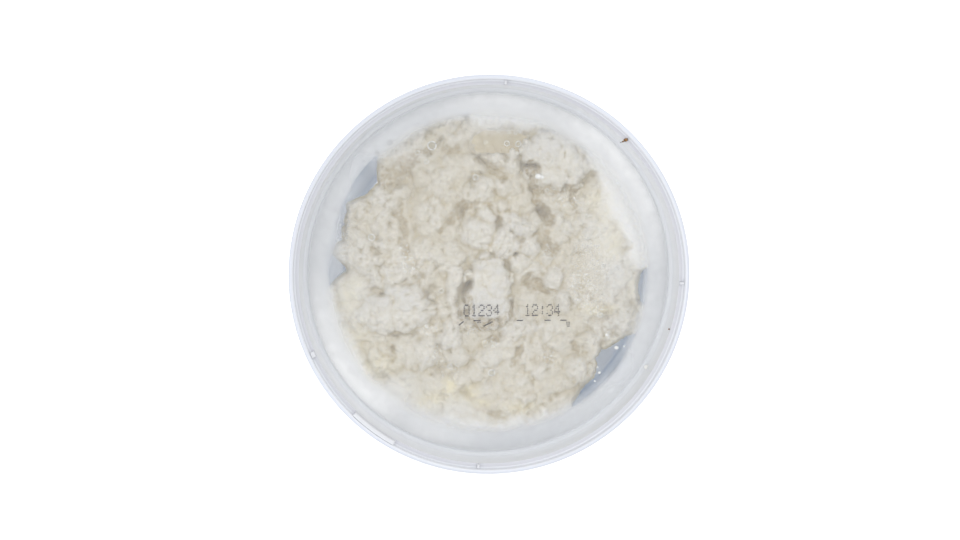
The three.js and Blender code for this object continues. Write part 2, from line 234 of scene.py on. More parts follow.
def printed_film():
    finish, place = new_finish("printed_film")
    band = put(finish, "UVMap", uv_map="band").outputs[0]
    turn = part_of(finish, band, "X")
    up = part_of(finish, band, "Y")
    height = put(finish, "MapRange", {0: up, 3: LABEL_BOTTOM, 4: LABEL_TOP}).outputs[0]
    fibre = noise(finish, place, 260, 4)
    colour = mixed(finish, fibre, LABEL_SHADE, LABEL_BLUE)
    # the pale wave and the field under it
    swing = reckoned(finish, "MULTIPLY", turn, WAVES_ROUND * 2 * math.pi)
    crest = reckoned(finish, "MULTIPLY_ADD", reckoned(finish, "SINE", swing), WAVE_HEIGHT, WAVE_LEVEL)
    above = reckoned(finish, "SUBTRACT", height, crest)
    colour = mixed(finish, spread(finish, above, -PRINT_EDGE, PRINT_EDGE, 1, 0), colour, LABEL_WHITE)
    # checked cloth pattern round the foot
    check_height = 2 * math.pi * wall_radius(CHECK_TOP) / CHECKS_ROUND / 2
    checks = []
    for value, scale in ((turn, CHECKS_ROUND), (height, 1 / check_height / 2)):
        part = reckoned(finish, "FRACT", reckoned(finish, "MULTIPLY", value, scale))
        checks.append(reckoned(finish, "LESS_THAN", part, 0.5))
    depth = reckoned(finish, "MULTIPLY", reckoned(finish, "ADD", *checks), 0.5)
    cloth = mixed(finish, depth, LABEL_WHITE, LABEL_BLUE)
    low = spread(finish, height, CHECK_TOP - PRINT_EDGE, CHECK_TOP + PRINT_EDGE, 1, 0)
    colour = mixed(finish, low, colour, cloth)
    for level in (*RULES_AT, CHECK_TOP):
        away = reckoned(finish, "ABSOLUTE", reckoned(finish, "SUBTRACT", height, level))
        on_rule = spread(finish, away, RULE_WIDTH / 2 + RULE_EDGE, RULE_WIDTH / 2 - RULE_EDGE, 0, 1)
        colour = mixed(finish, on_rule, colour, RULE_BLUE)
    roughness = spread(finish, fibre, 0.3, 0.7, 0.3, 0.45)
    surface = skin(finish, colour, roughness, fibre, 0.05, 0.3)
    glow = put(finish, "BsdfTranslucent", {"Color": colour}).outputs[0]
    return close_finish(finish, blended(finish, LABEL_GLOW, surface, glow))


label_inner = [(wall_radius(z) + LABEL_GAP, z) for z in (LABEL_BOTTOM, LABEL_TOP)]
label_outer = [(r + LABEL_THICKNESS, z) for r, z in label_inner]
label_outline = [label_inner[0], label_outer[0], label_outer[1], label_inner[1]]
label = piece_from("label_band", turned(label_outline, TUB_ROUND_STEPS, closed=True), printed_film())
lay_band_uv(label, LABEL_BOTTOM, LABEL_TOP)
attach(label, "root")
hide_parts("label")

# ---------- Ricotta ----------
# Fresh whey curd, ladled in while soft and held by the tub: lumps of fine grains with clefts between
# them, pressed flat where they meet the lid, smooth at the brim, and standing back from the wall in places.

CURD_FLOOR = 41.6
CURD_BED = 44.2
BRIM_LEVEL = 45.2
LID_CONTACT = 47.5
FILL_INTO_WALL = 0.1
TOP_CELLS = 292
# lumps: how much wider than in the list they are made, and how far they fall towards their edges
LUMP_SPREAD = 1.2
LUMP_FALL = 0.75
# clefts: the share of the depth in the list that they get, and how much wider they gape
CLEFT_SHARE = 0.26
CLEFT_WIDENING = 2.35
# how deep the creases between lumps and the wet spots are, in millimetres, how far under the bed the creases
# start, and how softly the lid presses the tops
CREASE_SINK = 0.25
SPOT_SINK = 0.35
CREASE_START = 0.9
PRESS_SOFTNESS = 0.12
# where the mass stands back from the wall: angle, half width in degrees, depth in millimetres
GAPS = [
    (99, 5, 1.3), (112.7, 3, 1.2), (144, 15, 5.9), (161, 22, 3), (178.5, 8, 6.1), (312, 13, 3.5),
    (324, 18, 5.8), (355, 9, 3.2),
]
# crumbs along those open edges: size in degrees and strength of the two kinds, and how far in they start
LARGE_CRUMBS = (6.5, 1.7)
SMALL_CRUMBS = (2.4, 0.8)
CRUMBS_INWARD = 1.4
# how the top rounds off towards those edges, in millimetres
EDGE_WIDTH = 2.2
EDGE_DROP = 1.8
# how wide the smooth brim is: angle in degrees, width in millimetres
BRIM_WIDTHS = [
    (8, 5.5), (27, 7.5), (45, 4), (61, 1), (73, 3.6), (89, 3.6), (105, 0.7), (122, 0.4), (140, 0.5),
    (185, 0.8), (196, 3), (210, 2.8), (225, 1.5), (239, 2.8), (271, 2.6), (295, 2.4), (308, 1), (335, 0.5),
    (350, 1.5),
]
# lumps: middle x and y, half length and width, turn in degrees, drop below the lid, squareness of the dome
LUMPS = [
    (-14.4, 43.4, 3.5, 2.5, 0, 3.4, 2), (-22.9, 37.4, 6.2, 4.4, 10, 3, 2), (-11.4, 39.4, 6, 3.7, 0, 2.5, 2),
    (20.1, 32.4, 9.4, 8.2, 0, -0.3, 6), (2.1, 32.9, 4.3, 3.4, -20, 2, 2),
    (-5.4, 30.9, 5.1, 2.6, -28, 1.5, 2), (7.1, 30.9, 3.4, 4.8, 10, 2, 2),
    (-26.9, 31.4, 3.7, 2.8, -30, 3.4, 2), (-13.9, 26.4, 8.5, 5.7, 0, 1.8, 2),
    (-24.9, 22.9, 2.6, 2.3, 0, 1.4, 2), (-1.9, 23.4, 4, 4, 0, 0.6, 2), (4.1, 24.4, 3.4, 3.1, 0, 1, 2),
    (10.1, 21.4, 4.8, 4.8, 0, 3.2, 2), (4.1, 19.9, 2.8, 2.6, 0, 1.4, 2), (20.6, 14.4, 4.3, 9.7, 5, 1.8, 2),
    (29.1, 7.9, 6.2, 8, 0, 2.2, 2), (-17.9, 15.9, 6.2, 7.4, 0, 1.6, 2), (-32.4, 14.4, 5.7, 10.8, 5, 2.2, 2),
    (-0.4, 17.4, 2.8, 3.4, 0, 0.8, 2), (8.6, 13.4, 6.2, 2.8, -38, 0.8, 2),
    (-2.4, 11.4, 5.7, 5.1, 0, 0.5, 2), (4.6, 8.4, 5.1, 5.7, 0, 0.5, 2), (12.1, 7.9, 4, 4, 0, 0.9, 2),
    (16.6, 4.9, 2.8, 3.4, 0, 1.4, 2), (-31.4, 7.9, 3.7, 3.4, 0, 1.7, 2), (-19.4, 6.4, 5.1, 4.5, 0, 1.8, 2),
    (8.6, 2.9, 3.1, 2.8, 0, 0.9, 2), (0.1, -5.1, 6, 9.4, 0, -0.9, 8), (18.1, -2.1, 2.8, 6, -5, 1.2, 2),
    (11.1, -7.6, 3.7, 5.1, 0, 1.2, 2), (21.1, -8.6, 2.8, 4, 0, 1.4, 2), (-9.4, -4.6, 2.3, 8.5, 0, 1.2, 2),
    (-24.9, -0.6, 6.2, 5.1, 0, 1.4, 2), (31.6, -4.6, 8.5, 7.4, 0, 2.4, 3),
    (-26.4, -10.6, 10.8, 6.8, 15, 0, 4), (35.1, -15.1, 3.4, 2.8, 0, 2.3, 2),
    (9.1, -16.1, 7.4, 2.8, 8, 1.3, 2), (-34.9, -16.1, 5.7, 5.7, 0, 2, 2),
    (19.1, -16.1, 5.7, 5.1, 0, 1.5, 2), (29.1, -19.1, 5.7, 5.1, 0, 2, 2),
    (-10.9, -18.1, 4.3, 5.1, 0, 0.9, 2), (-17.9, -22.6, 5.1, 6.8, 0, 1.3, 2),
    (2.6, -22.6, 8.5, 4.3, 22, 0.8, 2), (-8.9, -24.1, 3.7, 3.4, 0, 1.1, 2),
    (16.1, -28.1, 7.4, 6.2, 0, 1.7, 2), (24.6, -27.6, 5.1, 6.2, 0, 1.8, 2),
    (-6.4, -29.6, 6.2, 4.5, 0, 1.6, 2), (-23.4, -29.1, 7.4, 5.1, -20, 2.4, 2),
    (6.1, -36.6, 9.1, 4.8, 5, 1.8, 2), (-13.9, -37.1, 6.2, 3.4, 0, 2.8, 2),
]
# clefts: from x and y, to x and y, half width, depth
CLEFTS = [
    (-28.4, 25.4, -22.9, 31.4, 2, 4.5), (-21.4, 32.4, -17.9, 34.4, 1.4, 4.5),
    (-16.4, 34.9, -15.9, 39.9, 1.1, 3), (-13.4, 35.4, -9.4, 34.4, 1.1, 3), (-1.9, 32.9, 4.1, 27.4, 0.9, 3),
    (-12.9, 12.9, -6.9, 19.4, 1.4, 6.5), (-3.4, 18.9, -1.9, 19.9, 0.9, 3), (2.1, 18.9, 3.6, 15.9, 1.1, 4),
    (12.1, 29.9, 13.6, 24.4, 1.2, 7), (13.6, 23.4, 16.1, 14.4, 1.7, 8), (16.6, 23.4, 24.6, 24.9, 1.4, 6),
    (23.6, 23.4, 25.1, 18.9, 1.1, 4), (14.6, 10.4, 18.1, 6.4, 1.1, 4), (10.1, -2.1, 12.1, -0.1, 0.9, 4),
    (12.1, -2.6, 16.6, -5.6, 1.5, 7), (6.6, -7.1, 7.1, -12.1, 0.9, 4), (-6.9, -1.6, -6.4, -12.6, 0.9, 3.5),
    (-2.9, -14.6, 4.1, -13.1, 1.2, 5.5), (0.1, -19.1, 2.6, -19.6, 1.1, 4),
    (-24.9, 19.4, -23.4, 3.4, 1.1, 4), (10.1, -21.6, 6.6, -27.1, 0.9, 4.5),
    (-30.9, -21.6, -28.9, -25.1, 0.9, 4), (-27.4, -22.6, -28.4, -25.6, 0.9, 4),
    (-6.4, -33.6, -2.9, -39.1, 1.1, 3.5), (-2.9, -39.6, 2.1, -41.1, 1.1, 3),
    (17.6, -22.1, 16.1, -24.6, 1.1, 3), (24.6, -20.6, 25.1, -22.1, 1.1, 3),
    (33.1, -14.6, 34.6, -17.1, 0.9, 3),
]
# spots where whey has dried or pooled, straw to olive: middle x and y, half length and width
WHEY_SPOTS = [
    (-35.6, 21.9, 0.7, 1.1), (-17.1, 17.9, 0.4, 0.9), (-5.7, 22.2, 0.4, 0.7), (-4, 26.5, 0.9, 0.7),
    (-8.8, 2.3, 0.9, 0.4), (-30.5, -5.7, 0.9, 0.6), (-27, -3.4, 0.6, 0.4), (-20.8, -0.8, 0.9, 0.9),
    (-16, -4, 1.7, 0.9), (-23.4, -13.9, 0.9, 0.9), (-25.9, -18.2, 0.6, 0.6), (20.4, 35.9, 0.4, 0.7),
    (21.3, 33.6, 0.3, 1.1), (27, 33, 0.6, 0.7), (16.5, 32.2, 0.3, 0.6), (17, 8.3, 0.9, 1.1),
    (34.1, -11.3, 1.7, 0.6), (39.5, -4.5, 0.4, 0.9), (-21.1, -28.1, 0.9, 0.4), (-16.5, -29.3, 0.6, 0.4),
    (-10.6, -29.3, 0.9, 1.1), (1.1, -19, 1.1, 0.6), (-31.3, 10, 1.1, 0.6), (-33, 7.7, 0.6, 1.1),
    (-31.6, 5.7, 0.9, 0.6), (-1.2, 4.3, 1.4, 0.3), (1.1, 4.7, 1.7, 0.3), (3.9, 4, 0.9, 0.3),
    (-15.4, 41.3, 0.9, 0.3), (-8.8, 35.9, 0.9, 0.6), (-12.8, 38.1, 0.9, 0.6), (-17.7, 38.4, 0.6, 0.9),
    (-26.5, 24.8, 1.7, 0.6), (-24.8, 26.2, 1.1, 0.9), (-20.2, 31.6, 1.1, 0.6), (-21.6, 30.7, 0.9, 0.6),
    (-6.3, -16.2, 0.6, 0.6), (3.4, -14.8, 1.1, 0.6), (-1.5, -15, 0.9, 0.6), (17.3, -28.1, 0.9, 0.9),
    (18.4, -22.4, 0.6, 0.9), (24.4, -20.2, 0.7, 0.7), (27.8, -23, 0.6, 0.4), (19.9, -35.2, 0.9, 0.7),
    (18.2, -36.6, 0.6, 0.6), (24.7, -31.2, 0.6, 0.9), (35.2, -14.2, 0.6, 0.6),
]
# creamy yellow smears: middle x and y, half length and width, strength
CREAM_SMEARS = [
    (-38, -17, 4, 8, 0.4), (-32, -27, 6, 6, 0.45), (-25, -34, 7, 4, 0.45), (-39.3, -7.6, 3.4, 4.5, 0.8),
    (-37.9, -3.4, 2.3, 2.3, 0.5), (-16.5, -36.1, 8, 3.4, 0.6), (-11.4, -32.7, 2.3, 2.3, 1),
    (-16.9, -35.2, 2.4, 1.4, 1), (-5.2, -34.7, 2.8, 2.8, 0.7), (30.4, 19.9, 2.3, 4, 0.6),
    (41.8, -4.8, 1.7, 3.4, 0.5), (32.7, 13.7, 2.8, 9.9, 0.5), (35.2, 9.4, 2.8, 5.7, 0.7),
    (-2.3, -37.5, 3.4, 1.4, 1), (9.1, -38.9, 5.7, 1.7, 0.4), (-14.5, 41.3, 2.3, 1.7, 0.4),
    (-16.5, 37.8, 1.7, 1.7, 0.4), (31.8, -10.5, 5.7, 1.7, 0.6),
]
POOL_MIDDLE = (3.2, 37.8)
POOL_HALF = (6.9, 2.8)
POOL_FLOOR = 43.4
# single curds: seed and number, how far out they lie, how high they stand, smallest radius and what is added
CURD_SEED = 41
CURD_COUNT = 230
CURD_REACH = 43
CURD_RELIEF = 0.3
CURD_SMALLEST = 1.5
CURD_VARIETY = 1.3
# curds pressed side by side: how far one reaches in its room, and the sizes that lie over each other
CURD_ROOM = 0.9
BED_CURDS = 7
LARGE_CURDS = 4.4
MIDDLE_CURDS = 2.3
SMALL_CURDS = 1.2
# how high each of those sizes stands, and how far down the ground is set that they stand on
BED_RELIEF = 2.2
LARGE_RELIEF = 2
MIDDLE_RELIEF = 2
SMALL_RELIEF = 1.1
BED_SINK = 0.9
CURD_SINK = 3.5
LATTICE = 256
SIDE_STEPS = 8
FOOT_ROUNDING = 7
CURD_PALE = (0.625, 0.602, 0.545, 1)
CURD_IVORY = (0.60, 0.572, 0.505, 1)
CURD_PRESSED = (0.55, 0.535, 0.505, 1)
CURD_LOW = (0.52, 0.465, 0.34, 1)
CURD_MOTTLE = (0.47, 0.43, 0.33, 1)
# darker straw painted into the hollows and creases: painted shade, with some whey tint
HOLLOW_SHADE_STRAW = (0.46, 0.385, 0.23, 1)
# dark olive painted into the clefts: painted shade, with a whey tint
CLEFT_SHADE_OLIVE = (0.31, 0.235, 0.10, 1)
SPOT_OLIVE = (0.35, 0.29, 0.17, 1)
BRIM_WHITE = (0.77, 0.77, 0.76, 1)
CREAM_YELLOW = (0.75, 0.68, 0.46, 1)


def smooth(x, low, high):
    t = np.clip((x - low) / (high - low), 0, 1)
    return t * t * (3 - 2 * t)


def mix(a, b, t):
    return a + (b - a) * t


def bump(t):
    """One at the middle, falling smoothly to nothing at one."""
    return np.where(np.abs(t) < 1, (1 - np.minimum(t * t, 1)) ** 2, 0)


def on_lattice(x, y, size, seed):
    """Cell, and place in the cell, on a square lattice that is turned by the seed."""
    u = (x * math.cos(seed) - y * math.sin(seed)) / size + LATTICE / 2
    v = (x * math.sin(seed) + y * math.cos(seed)) / size + LATTICE / 2
    i = np.floor(u).astype(int)
    j = np.floor(v).astype(int)
    return i, j, u - i, v - j


def cloud(x, y, size, seed):
    """Soft uneven variation from -1 to 1, in patches of about one size."""
    draws = np.random.default_rng(seed).uniform(-1, 1, (LATTICE, LATTICE))
    i, j, u, v = on_lattice(x, y, size, seed)

    def row(j):
        return mix(draws[i % LATTICE, j % LATTICE], draws[(i + 1) % LATTICE, j % LATTICE], smooth(u, 0, 1))

    return mix(row(j), row(j + 1), smooth(v, 0, 1))


def packed(x, y, size, seed):
    """Round curds of one size side by side, some standing higher: nought in pits, up to one on top."""
    draws = np.random.default_rng(seed).uniform(0, 1, (LATTICE, LATTICE, 3))
    i, j, u, v = on_lattice(x, y, size, seed)
    top = np.zeros(x.shape)
    for di in (-1, 0, 1):
        for dj in (-1, 0, 1):
            curd = draws[(i + di) % LATTICE, (j + dj) % LATTICE]
            away = np.hypot(u - di - curd[..., 0], v - dj - curd[..., 1])
            dome = np.sqrt(np.clip(1 - (away / CURD_ROOM) ** 2, 0, 1))
            top = np.maximum(top, (0.6 + 0.4 * curd[..., 2]) * dome)
    return top


def clouded(value, x, y, *layers):
    """Adds clouds to a value: the strength, size and seed of each."""
    for strength, size, seed in layers:
        value = value + strength * cloud(x, y, size, seed)
    return value


def puffs(x, y, size, seed):
    """Rounded crowns with sharp creases between them, about nought on average."""
    return np.abs(cloud(x, y, size, seed)) * 2 - 0.7


def scattered_curds():
    """The larger curds, spread by the golden angle and moved a little by a seeded draw."""
    state = CURD_SEED
    draws = []
    for _ in range(3 * CURD_COUNT):
        state = (state * 1664525 + 1013904223) % 2 ** 32
        draws.append(state / 2 ** 32)
    golden = math.pi * (3 - math.sqrt(5))
    for i in range(CURD_COUNT):
        reach = CURD_REACH * math.sqrt((i + 0.5) / CURD_COUNT)
        x = reach * math.cos(i * golden) + draws[3 * i] - 0.5
        y = reach * math.sin(i * golden) + draws[3 * i + 1] - 0.5
        yield x, y, CURD_SMALLEST + CURD_VARIETY * draws[3 * i + 2]


def turn_between(degrees, angle):
    return (degrees - angle + 180) % 360 - 180


def fill_radius(z):
    return wall_radius(z) - TUB_WALL + FILL_INTO_WALL


def mass_reach(degrees):
    """How far out the top of the mass reaches in a direction. Its open edges are crumbly."""
    full = fill_radius(BRIM_LEVEL)
    back = np.zeros(degrees.shape)
    for angle, half, depth in GAPS:
        back = np.maximum(back, depth * bump(turn_between(degrees, angle) / half))
    large = LARGE_CRUMBS[1] * packed(degrees, 0 * degrees, LARGE_CRUMBS[0], 51)
    small = SMALL_CRUMBS[1] * packed(degrees, 0 * degrees, SMALL_CRUMBS[0], 52)
    crumbs = large + small - CRUMBS_INWARD
    return full - np.maximum(back - crumbs * smooth(back, 0.3, 1.5), 0)


def brim_share(x, y, full):
    """One on the smooth brim, nought on the lumps inside it."""
    angles, widths = zip(*BRIM_WIDTHS)
    width = np.interp(np.degrees(np.arctan2(y, x)) % 360, angles, widths, period=360)
    edge = clouded(full - width, x, y, (1.1, 3.6, 41), (0.5, 1.2, 42))
    return smooth(np.hypot(x, y), edge - 2, edge + 1.4)


def lumps_and_creases(x, y, lobes, bed):
    """The highest lump over each point, and how close the next one comes: one where the two meet."""
    level = bed.copy()
    behind = bed - CREASE_START
    for cx, cy, half, side, turn, drop, square in LUMPS:
        c = math.cos(math.radians(turn))
        s = math.sin(math.radians(turn))
        u = ((x - cx) * c + (y - cy) * s) / (half * LUMP_SPREAD)
        v = ((y - cy) * c - (x - cx) * s) / (side * LUMP_SPREAD)
        d = np.hypot(u, v) * (1.5 - 0.7 * lobes)
        fall = min(half, side, 5) * LUMP_FALL
        dome = LID_CONTACT - drop - fall * (1 - np.maximum(1 - d ** square, 0) ** 0.8)
        dome = np.where(d < 1, dome, CURD_FLOOR)
        behind = np.maximum(behind, np.minimum(level, dome))
        level = np.maximum(level, dome)
    return level, 1 - smooth(level - behind, 0, 1.3)


def cleft_depth(x, y, tops):
    """Clefts between the lumps: they wander, and gape where the curds' own creases are. Also how much painted
    shade, with a whey tint, each place in a cleft gets.
    """
    depth = np.zeros(x.shape)
    cleft_shade_and_whey = np.zeros(x.shape)
    px = clouded(x, x, y, (1.3, 3.4, 15), (0.5, 1.3, 16))
    py = clouded(y, x, y, (1.3, 3.4, 17), (0.5, 1.3, 18))
    openness = 0.75 + 0.35 * cloud(x, y, 2.6, 19)
    for x0, y0, x1, y1, half, deep in CLEFTS:
        along = ((px - x0) * (x1 - x0) + (py - y0) * (y1 - y0)) / ((x1 - x0) ** 2 + (y1 - y0) ** 2)
        t = np.clip(along, 0, 1)
        away = np.hypot(px - mix(x0, x1, t), py - mix(y0, y1, t))
        inside = bump(away / (half * CLEFT_WIDENING * openness))
        depth = np.maximum(depth, CLEFT_SHARE * deep * openness * inside)
        # painted shade, with a whey tint, that each place in a cleft gets
        cleft_shade_and_whey = np.maximum(cleft_shade_and_whey, min(1, 0.4 + deep / 12) * smooth(inside, 0, 0.55))
    return depth * (1.4 - 0.9 * tops), cleft_shade_and_whey * (1.15 - 0.35 * tops)


def blob(x, y, cx, cy, half, side):
    return bump(np.hypot((x - cx) / half, (y - cy) / side))


def top_of_curd(x, y, reach):
    """Level of the mass at each point, in millimetres, how creased it is there, and how much painted cleft
    shade with a whey tint it gets.
    """
    r = np.hypot(x, y)
    full = fill_radius(BRIM_LEVEL)
    wx = clouded(x, x, y, (0.6, 5, 11), (0.22, 1.8, 12), (0.06, 0.8, 9))
    wy = clouded(y, x, y, (0.6, 5, 13), (0.22, 1.8, 14), (0.06, 0.8, 10))
    curds = np.zeros(x.shape)
    for cx, cy, radius in scattered_curds():
        d = np.minimum(np.hypot(wx - cx, wy - cy) / radius, 1)
        curds = np.maximum(curds, CURD_RELIEF * np.sqrt(1 - d * d))
    lumpy = 0.6 + 0.5 * cloud(x, y, 8, 21)
    tops = packed(wx, wy, LARGE_CURDS, 22)
    small = packed(wx, wy, MIDDLE_CURDS, 23)
    smallest = packed(wx, wy, SMALL_CURDS, 29)
    fine = LARGE_RELIEF * tops + lumpy * (MIDDLE_RELIEF * small + SMALL_RELIEF * smallest) - CURD_SINK
    fine = fine + 0.05 * puffs(x, y, 0.7, 28) + 0.3 * cloud(x, y, 9, 25)
    bed = CURD_BED + BED_RELIEF * packed(wx, wy, BED_CURDS, 26) - BED_SINK + 0.5 * cloud(x, y, 12, 27)
    lobes = 0.6 * tops + 0.4 * small
    lump_x = clouded(x, x, y, (0.9, 6, 33))
    lump_y = clouded(y, x, y, (0.9, 6, 34))
    lumps, crease = lumps_and_creases(lump_x, lump_y, lobes, bed)
    crease = crease * (0.55 + 0.45 * smooth(cloud(x, y, 8, 35), -0.5, 0.5))
    free = lumps - CREASE_SINK * crease + curds + fine
    pressed = LID_CONTACT - PRESS_SOFTNESS * np.log1p(np.exp((LID_CONTACT - free) / PRESS_SOFTNESS))
    cleft, cleft_shade_and_whey = cleft_depth(wx, wy, tops)
    curd = pressed + 0.05 * cloud(x, y, 3, 24) - cleft
    for cx, cy, half, side in WHEY_SPOTS:
        curd = curd - SPOT_SINK * blob(wx, wy, cx, cy, half * 1.8, side * 1.8)
    away_x = np.abs(x - POOL_MIDDLE[0] + 1.2 * cloud(x, y, 3.5, 43)) / POOL_HALF[0]
    away_y = np.abs(y - POOL_MIDDLE[1] + 1.2 * cloud(x, y, 3.5, 44)) / POOL_HALF[1]
    pool = (away_x ** 3 + away_y ** 3) ** (1 / 3)
    curd = mix(np.minimum(curd, POOL_FLOOR), curd, smooth(pool, 0.62, 1))
    backs = smooth(full - reach, 0.2, 1.6)
    edge = smooth(r, reach - EDGE_WIDTH, reach)
    loose = curd - EDGE_DROP * edge * edge
    even = mix(curd, BRIM_LEVEL, np.maximum(brim_share(x, y, full), smooth(r, full - 0.8, full - 0.2)))
    return mix(even, loose, backs), crease, cleft_shade_and_whey


def blurred(field, times):
    for _ in range(times):
        for axis in (0, 1):
            low = np.roll(field, 1, axis)
            high = np.roll(field, -1, axis)
            field = (low + 2 * field + high) / 4
    return field


def round_sheet(cells):
    """A square grid to bend ring by ring into a disc, and how far out and at what angle each point goes."""
    shape = bmesh.new()
    bmesh.ops.create_grid(shape, x_segments=cells, y_segments=cells, size=1)
    square = np.array([vert.co[:2] for vert in shape.verts])
    u, v = square.T
    out = np.maximum(np.abs(u), np.abs(v))
    safe = np.where(out == 0, 1, out)
    wide = np.abs(u) >= np.abs(v)
    part = np.where(wide, v, u) / safe * (math.pi / 4)
    along = np.where(wide, np.cos(part), np.sin(part)) * np.where(wide, np.sign(u), 1)
    across = np.where(wide, np.sin(part), np.cos(part)) * np.where(wide, 1, np.sign(v))
    return shape, square, out, np.arctan2(across, along)


def move_to(verts, x, y, z):
    for vert, place in zip(verts, np.column_stack((x, y, z)) * MM):
        vert.co = place


def add_field(mesh, name, values):
    mesh.attributes.new(name, "FLOAT", "POINT").data.foreach_set("value", np.asarray(values, np.float32))


def ricotta_mass():
    shape, square, out, turn = round_sheet(TOP_CELLS)
    reach = mass_reach(np.degrees(turn))
    full = fill_radius(BRIM_LEVEL)
    r = full * out - (full - reach) * smooth(out, 0.65, 1)
    x = r * np.cos(turn)
    y = r * np.sin(turn)
    z, crease, cleft_shade_and_whey = top_of_curd(x, y, reach)
    move_to(shape.verts, x, y, z)

    # fields that the finish reads: painted shade with a straw whey tint in the hollows and clefts between the
    # lumps, dried whey, cream and flat-pressed tops
    order = np.lexsort((square[:, 0], square[:, 1]))
    side = TOP_CELLS + 1
    level = np.empty((side, side))
    level.flat = z[order]
    near = np.empty(z.shape)
    wide = np.empty(z.shape)
    near[order] = blurred(level, 10).ravel()
    wide[order] = blurred(level, 60).ravel()
    # painted shade: the deeper a place lies below its surroundings, and along the creases between lumps, the
    # darker straw it is painted
    hollow_shade = np.clip((near - z - 0.05) / 0.35, 0, 1) * 0.45 + np.clip((wide - z - 0.12) / 1.3, 0, 1) * 0.65
    hollow_shade = hollow_shade + 0.22 * crease * (1 - smooth(z, LID_CONTACT - 1.2, LID_CONTACT - 0.4))
    spots = np.zeros(z.shape)
    for cx, cy, half, width in WHEY_SPOTS:
        spots = np.maximum(spots, blob(x, y, cx, cy, half * 1.9, width * 1.9))
    cream = np.zeros(z.shape)
    for cx, cy, half, width, strength in CREAM_SMEARS:
        cream = np.maximum(cream, strength * blob(x, y, cx, cy, half * 1.6, width * 1.6))
    fields = {
        "hollow_shade": np.clip(hollow_shade, 0, 1) * (1 - smooth(r, 42, 45)),
        "cleft": np.clip(cleft_shade_and_whey, 0, 1),
        "whey_spot": spots,
        "cream": cream,
        "pressed": smooth(z, LID_CONTACT - 0.7, LID_CONTACT - 0.1),
        "brim": brim_share(x, y, full) * (1 - smooth(full - reach, 0.2, 1.6)),
    }

    # the sides go down in steps to the floor, along the taper of the wall, and round in at the foot
    rim = [e for e in shape.edges if e.is_boundary]
    floor = TUB_FLOOR + 0.1
    for step in range(SIDE_STEPS):
        made = bmesh.ops.extrude_edge_only(shape, edges=rim)["geom"]
        rim = [e for e in made if isinstance(e, bmesh.types.BMEdge) and e.is_boundary]
        ring = [v for v in made if isinstance(v, bmesh.types.BMVert)]
        places = np.array([v.co[:] for v in ring]) / MM
        angle = np.arctan2(places[:, 1], places[:, 0])
        z_next = places[:, 2] + (floor - places[:, 2]) / (SIDE_STEPS - step)
        corner = np.maximum(0, FOOT_ROUNDING - (z_next - floor)) * 0.28
        side_r = np.minimum(mass_reach(np.degrees(angle)), fill_radius(z_next)) - corner
        move_to(ring, side_r * np.cos(angle), side_r * np.sin(angle), z_next)
    bmesh.ops.holes_fill(shape, edges=rim, sides=0)
    bmesh.ops.triangulate(shape, faces=[f for f in shape.faces if len(f.verts) > 4])
    bmesh.ops.recalc_face_normals(shape, faces=shape.faces)
    count = len(z)
    piece = piece_from("ricotta_curd", shape, curd_finish(), sharp_angle=180)
    spare = len(piece.data.vertices) - count
    for name, values in fields.items():
        last = 1.0 if name == "brim" else 0.0
        add_field(piece.data, name, np.concatenate((values, np.full(spare, last))))
    return piece


def painted(finish, name):
    """What a field of the mesh says at each place."""
    return put(finish, "Attribute", attribute_name=name).outputs["Fac"]


def curd_finish():
    finish, place = new_finish("moist_curd")

    def times(a, b):
        return reckoned(finish, "MULTIPLY", a, b)

    patches = noise(finish, place, 110, 5, Roughness=0.6)
    mottle = noise(finish, place, 620, 5, Roughness=0.65)
    broken = spread(finish, mottle, 0.35, 0.6, 0.3, 1)
    colour = mixed(finish, spread(finish, patches, 0.35, 0.65, 0, 1), CURD_IVORY, CURD_PALE)
    for share, above in (
        (times(painted(finish, "pressed"), 0.7), CURD_PRESSED),
        (spread(finish, part_of(finish, place, "Z"), 45.6 * MM, 43 * MM, 0, 0.6), CURD_LOW),
        (times(spread(finish, mottle, 0.46, 0.62, 0, 1), 0.42), CURD_MOTTLE),
        # painted shade, with some whey tint, in the hollows and creases
        (times(painted(finish, "hollow_shade"), 0.75), HOLLOW_SHADE_STRAW),
        # painted shade, with a whey tint, in the clefts
        (times(painted(finish, "cleft"), broken), CLEFT_SHADE_OLIVE),
        (times(painted(finish, "whey_spot"), broken), SPOT_OLIVE),
        (painted(finish, "brim"), BRIM_WHITE),
        (times(painted(finish, "cream"), broken), CREAM_YELLOW),
    ):
        colour = mixed(finish, share, colour, above)
    grain = put(finish, "TexVoronoi", {"Vector": place, "Scale": 900.0}).outputs["Distance"]
    height = reckoned(finish, "MULTIPLY_ADD", mottle, 0.7, grain)
    roughness = spread(finish, mottle, 0.3, 0.7, 0.36, 0.62)
    return close_finish(finish, skin(finish, colour, roughness, height, 0.6, 0.4, {
        "Subsurface Weight": 0.25, "Subsurface Radius": (1.0, 0.85, 0.6), "Subsurface Scale": 1.2 * MM,
        "Specular IOR Level": 0.4,
    }))


ricotta = ricotta_mass()
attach(ricotta, "root")
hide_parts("ricotta")

# ---------- Whey pool ----------
# Thin cloudy whey that has drained out of the curd into a hollow at the back. It lies loose there, and the
# curds round it hold its edge.

POOL_LEVEL = 45.2
POOL_DEPTH = 2.9
POOL_OVERLAP = 1.12
POOL_STEPS = 72
POOL_SQUARENESS = 3.2
POOL_FORWARD = 0.5
POOL_BEND = 0.012
WHEY_STRAW = (0.55, 0.45, 0.26, 1)
WHEY_MILKY = (0.68, 0.61, 0.45, 1)


def thickened_down(shape, thickness):
    """Gives a flat sheet its thickness, downwards."""
    made = bmesh.ops.extrude_face_region(shape, geom=shape.faces[:])["geom"]
    lower = [v for v in made if isinstance(v, bmesh.types.BMVert)]
    bmesh.ops.translate(shape, verts=lower, vec=(0, 0, -thickness * MM))
    bmesh.ops.recalc_face_normals(shape, faces=shape.faces)
    return shape


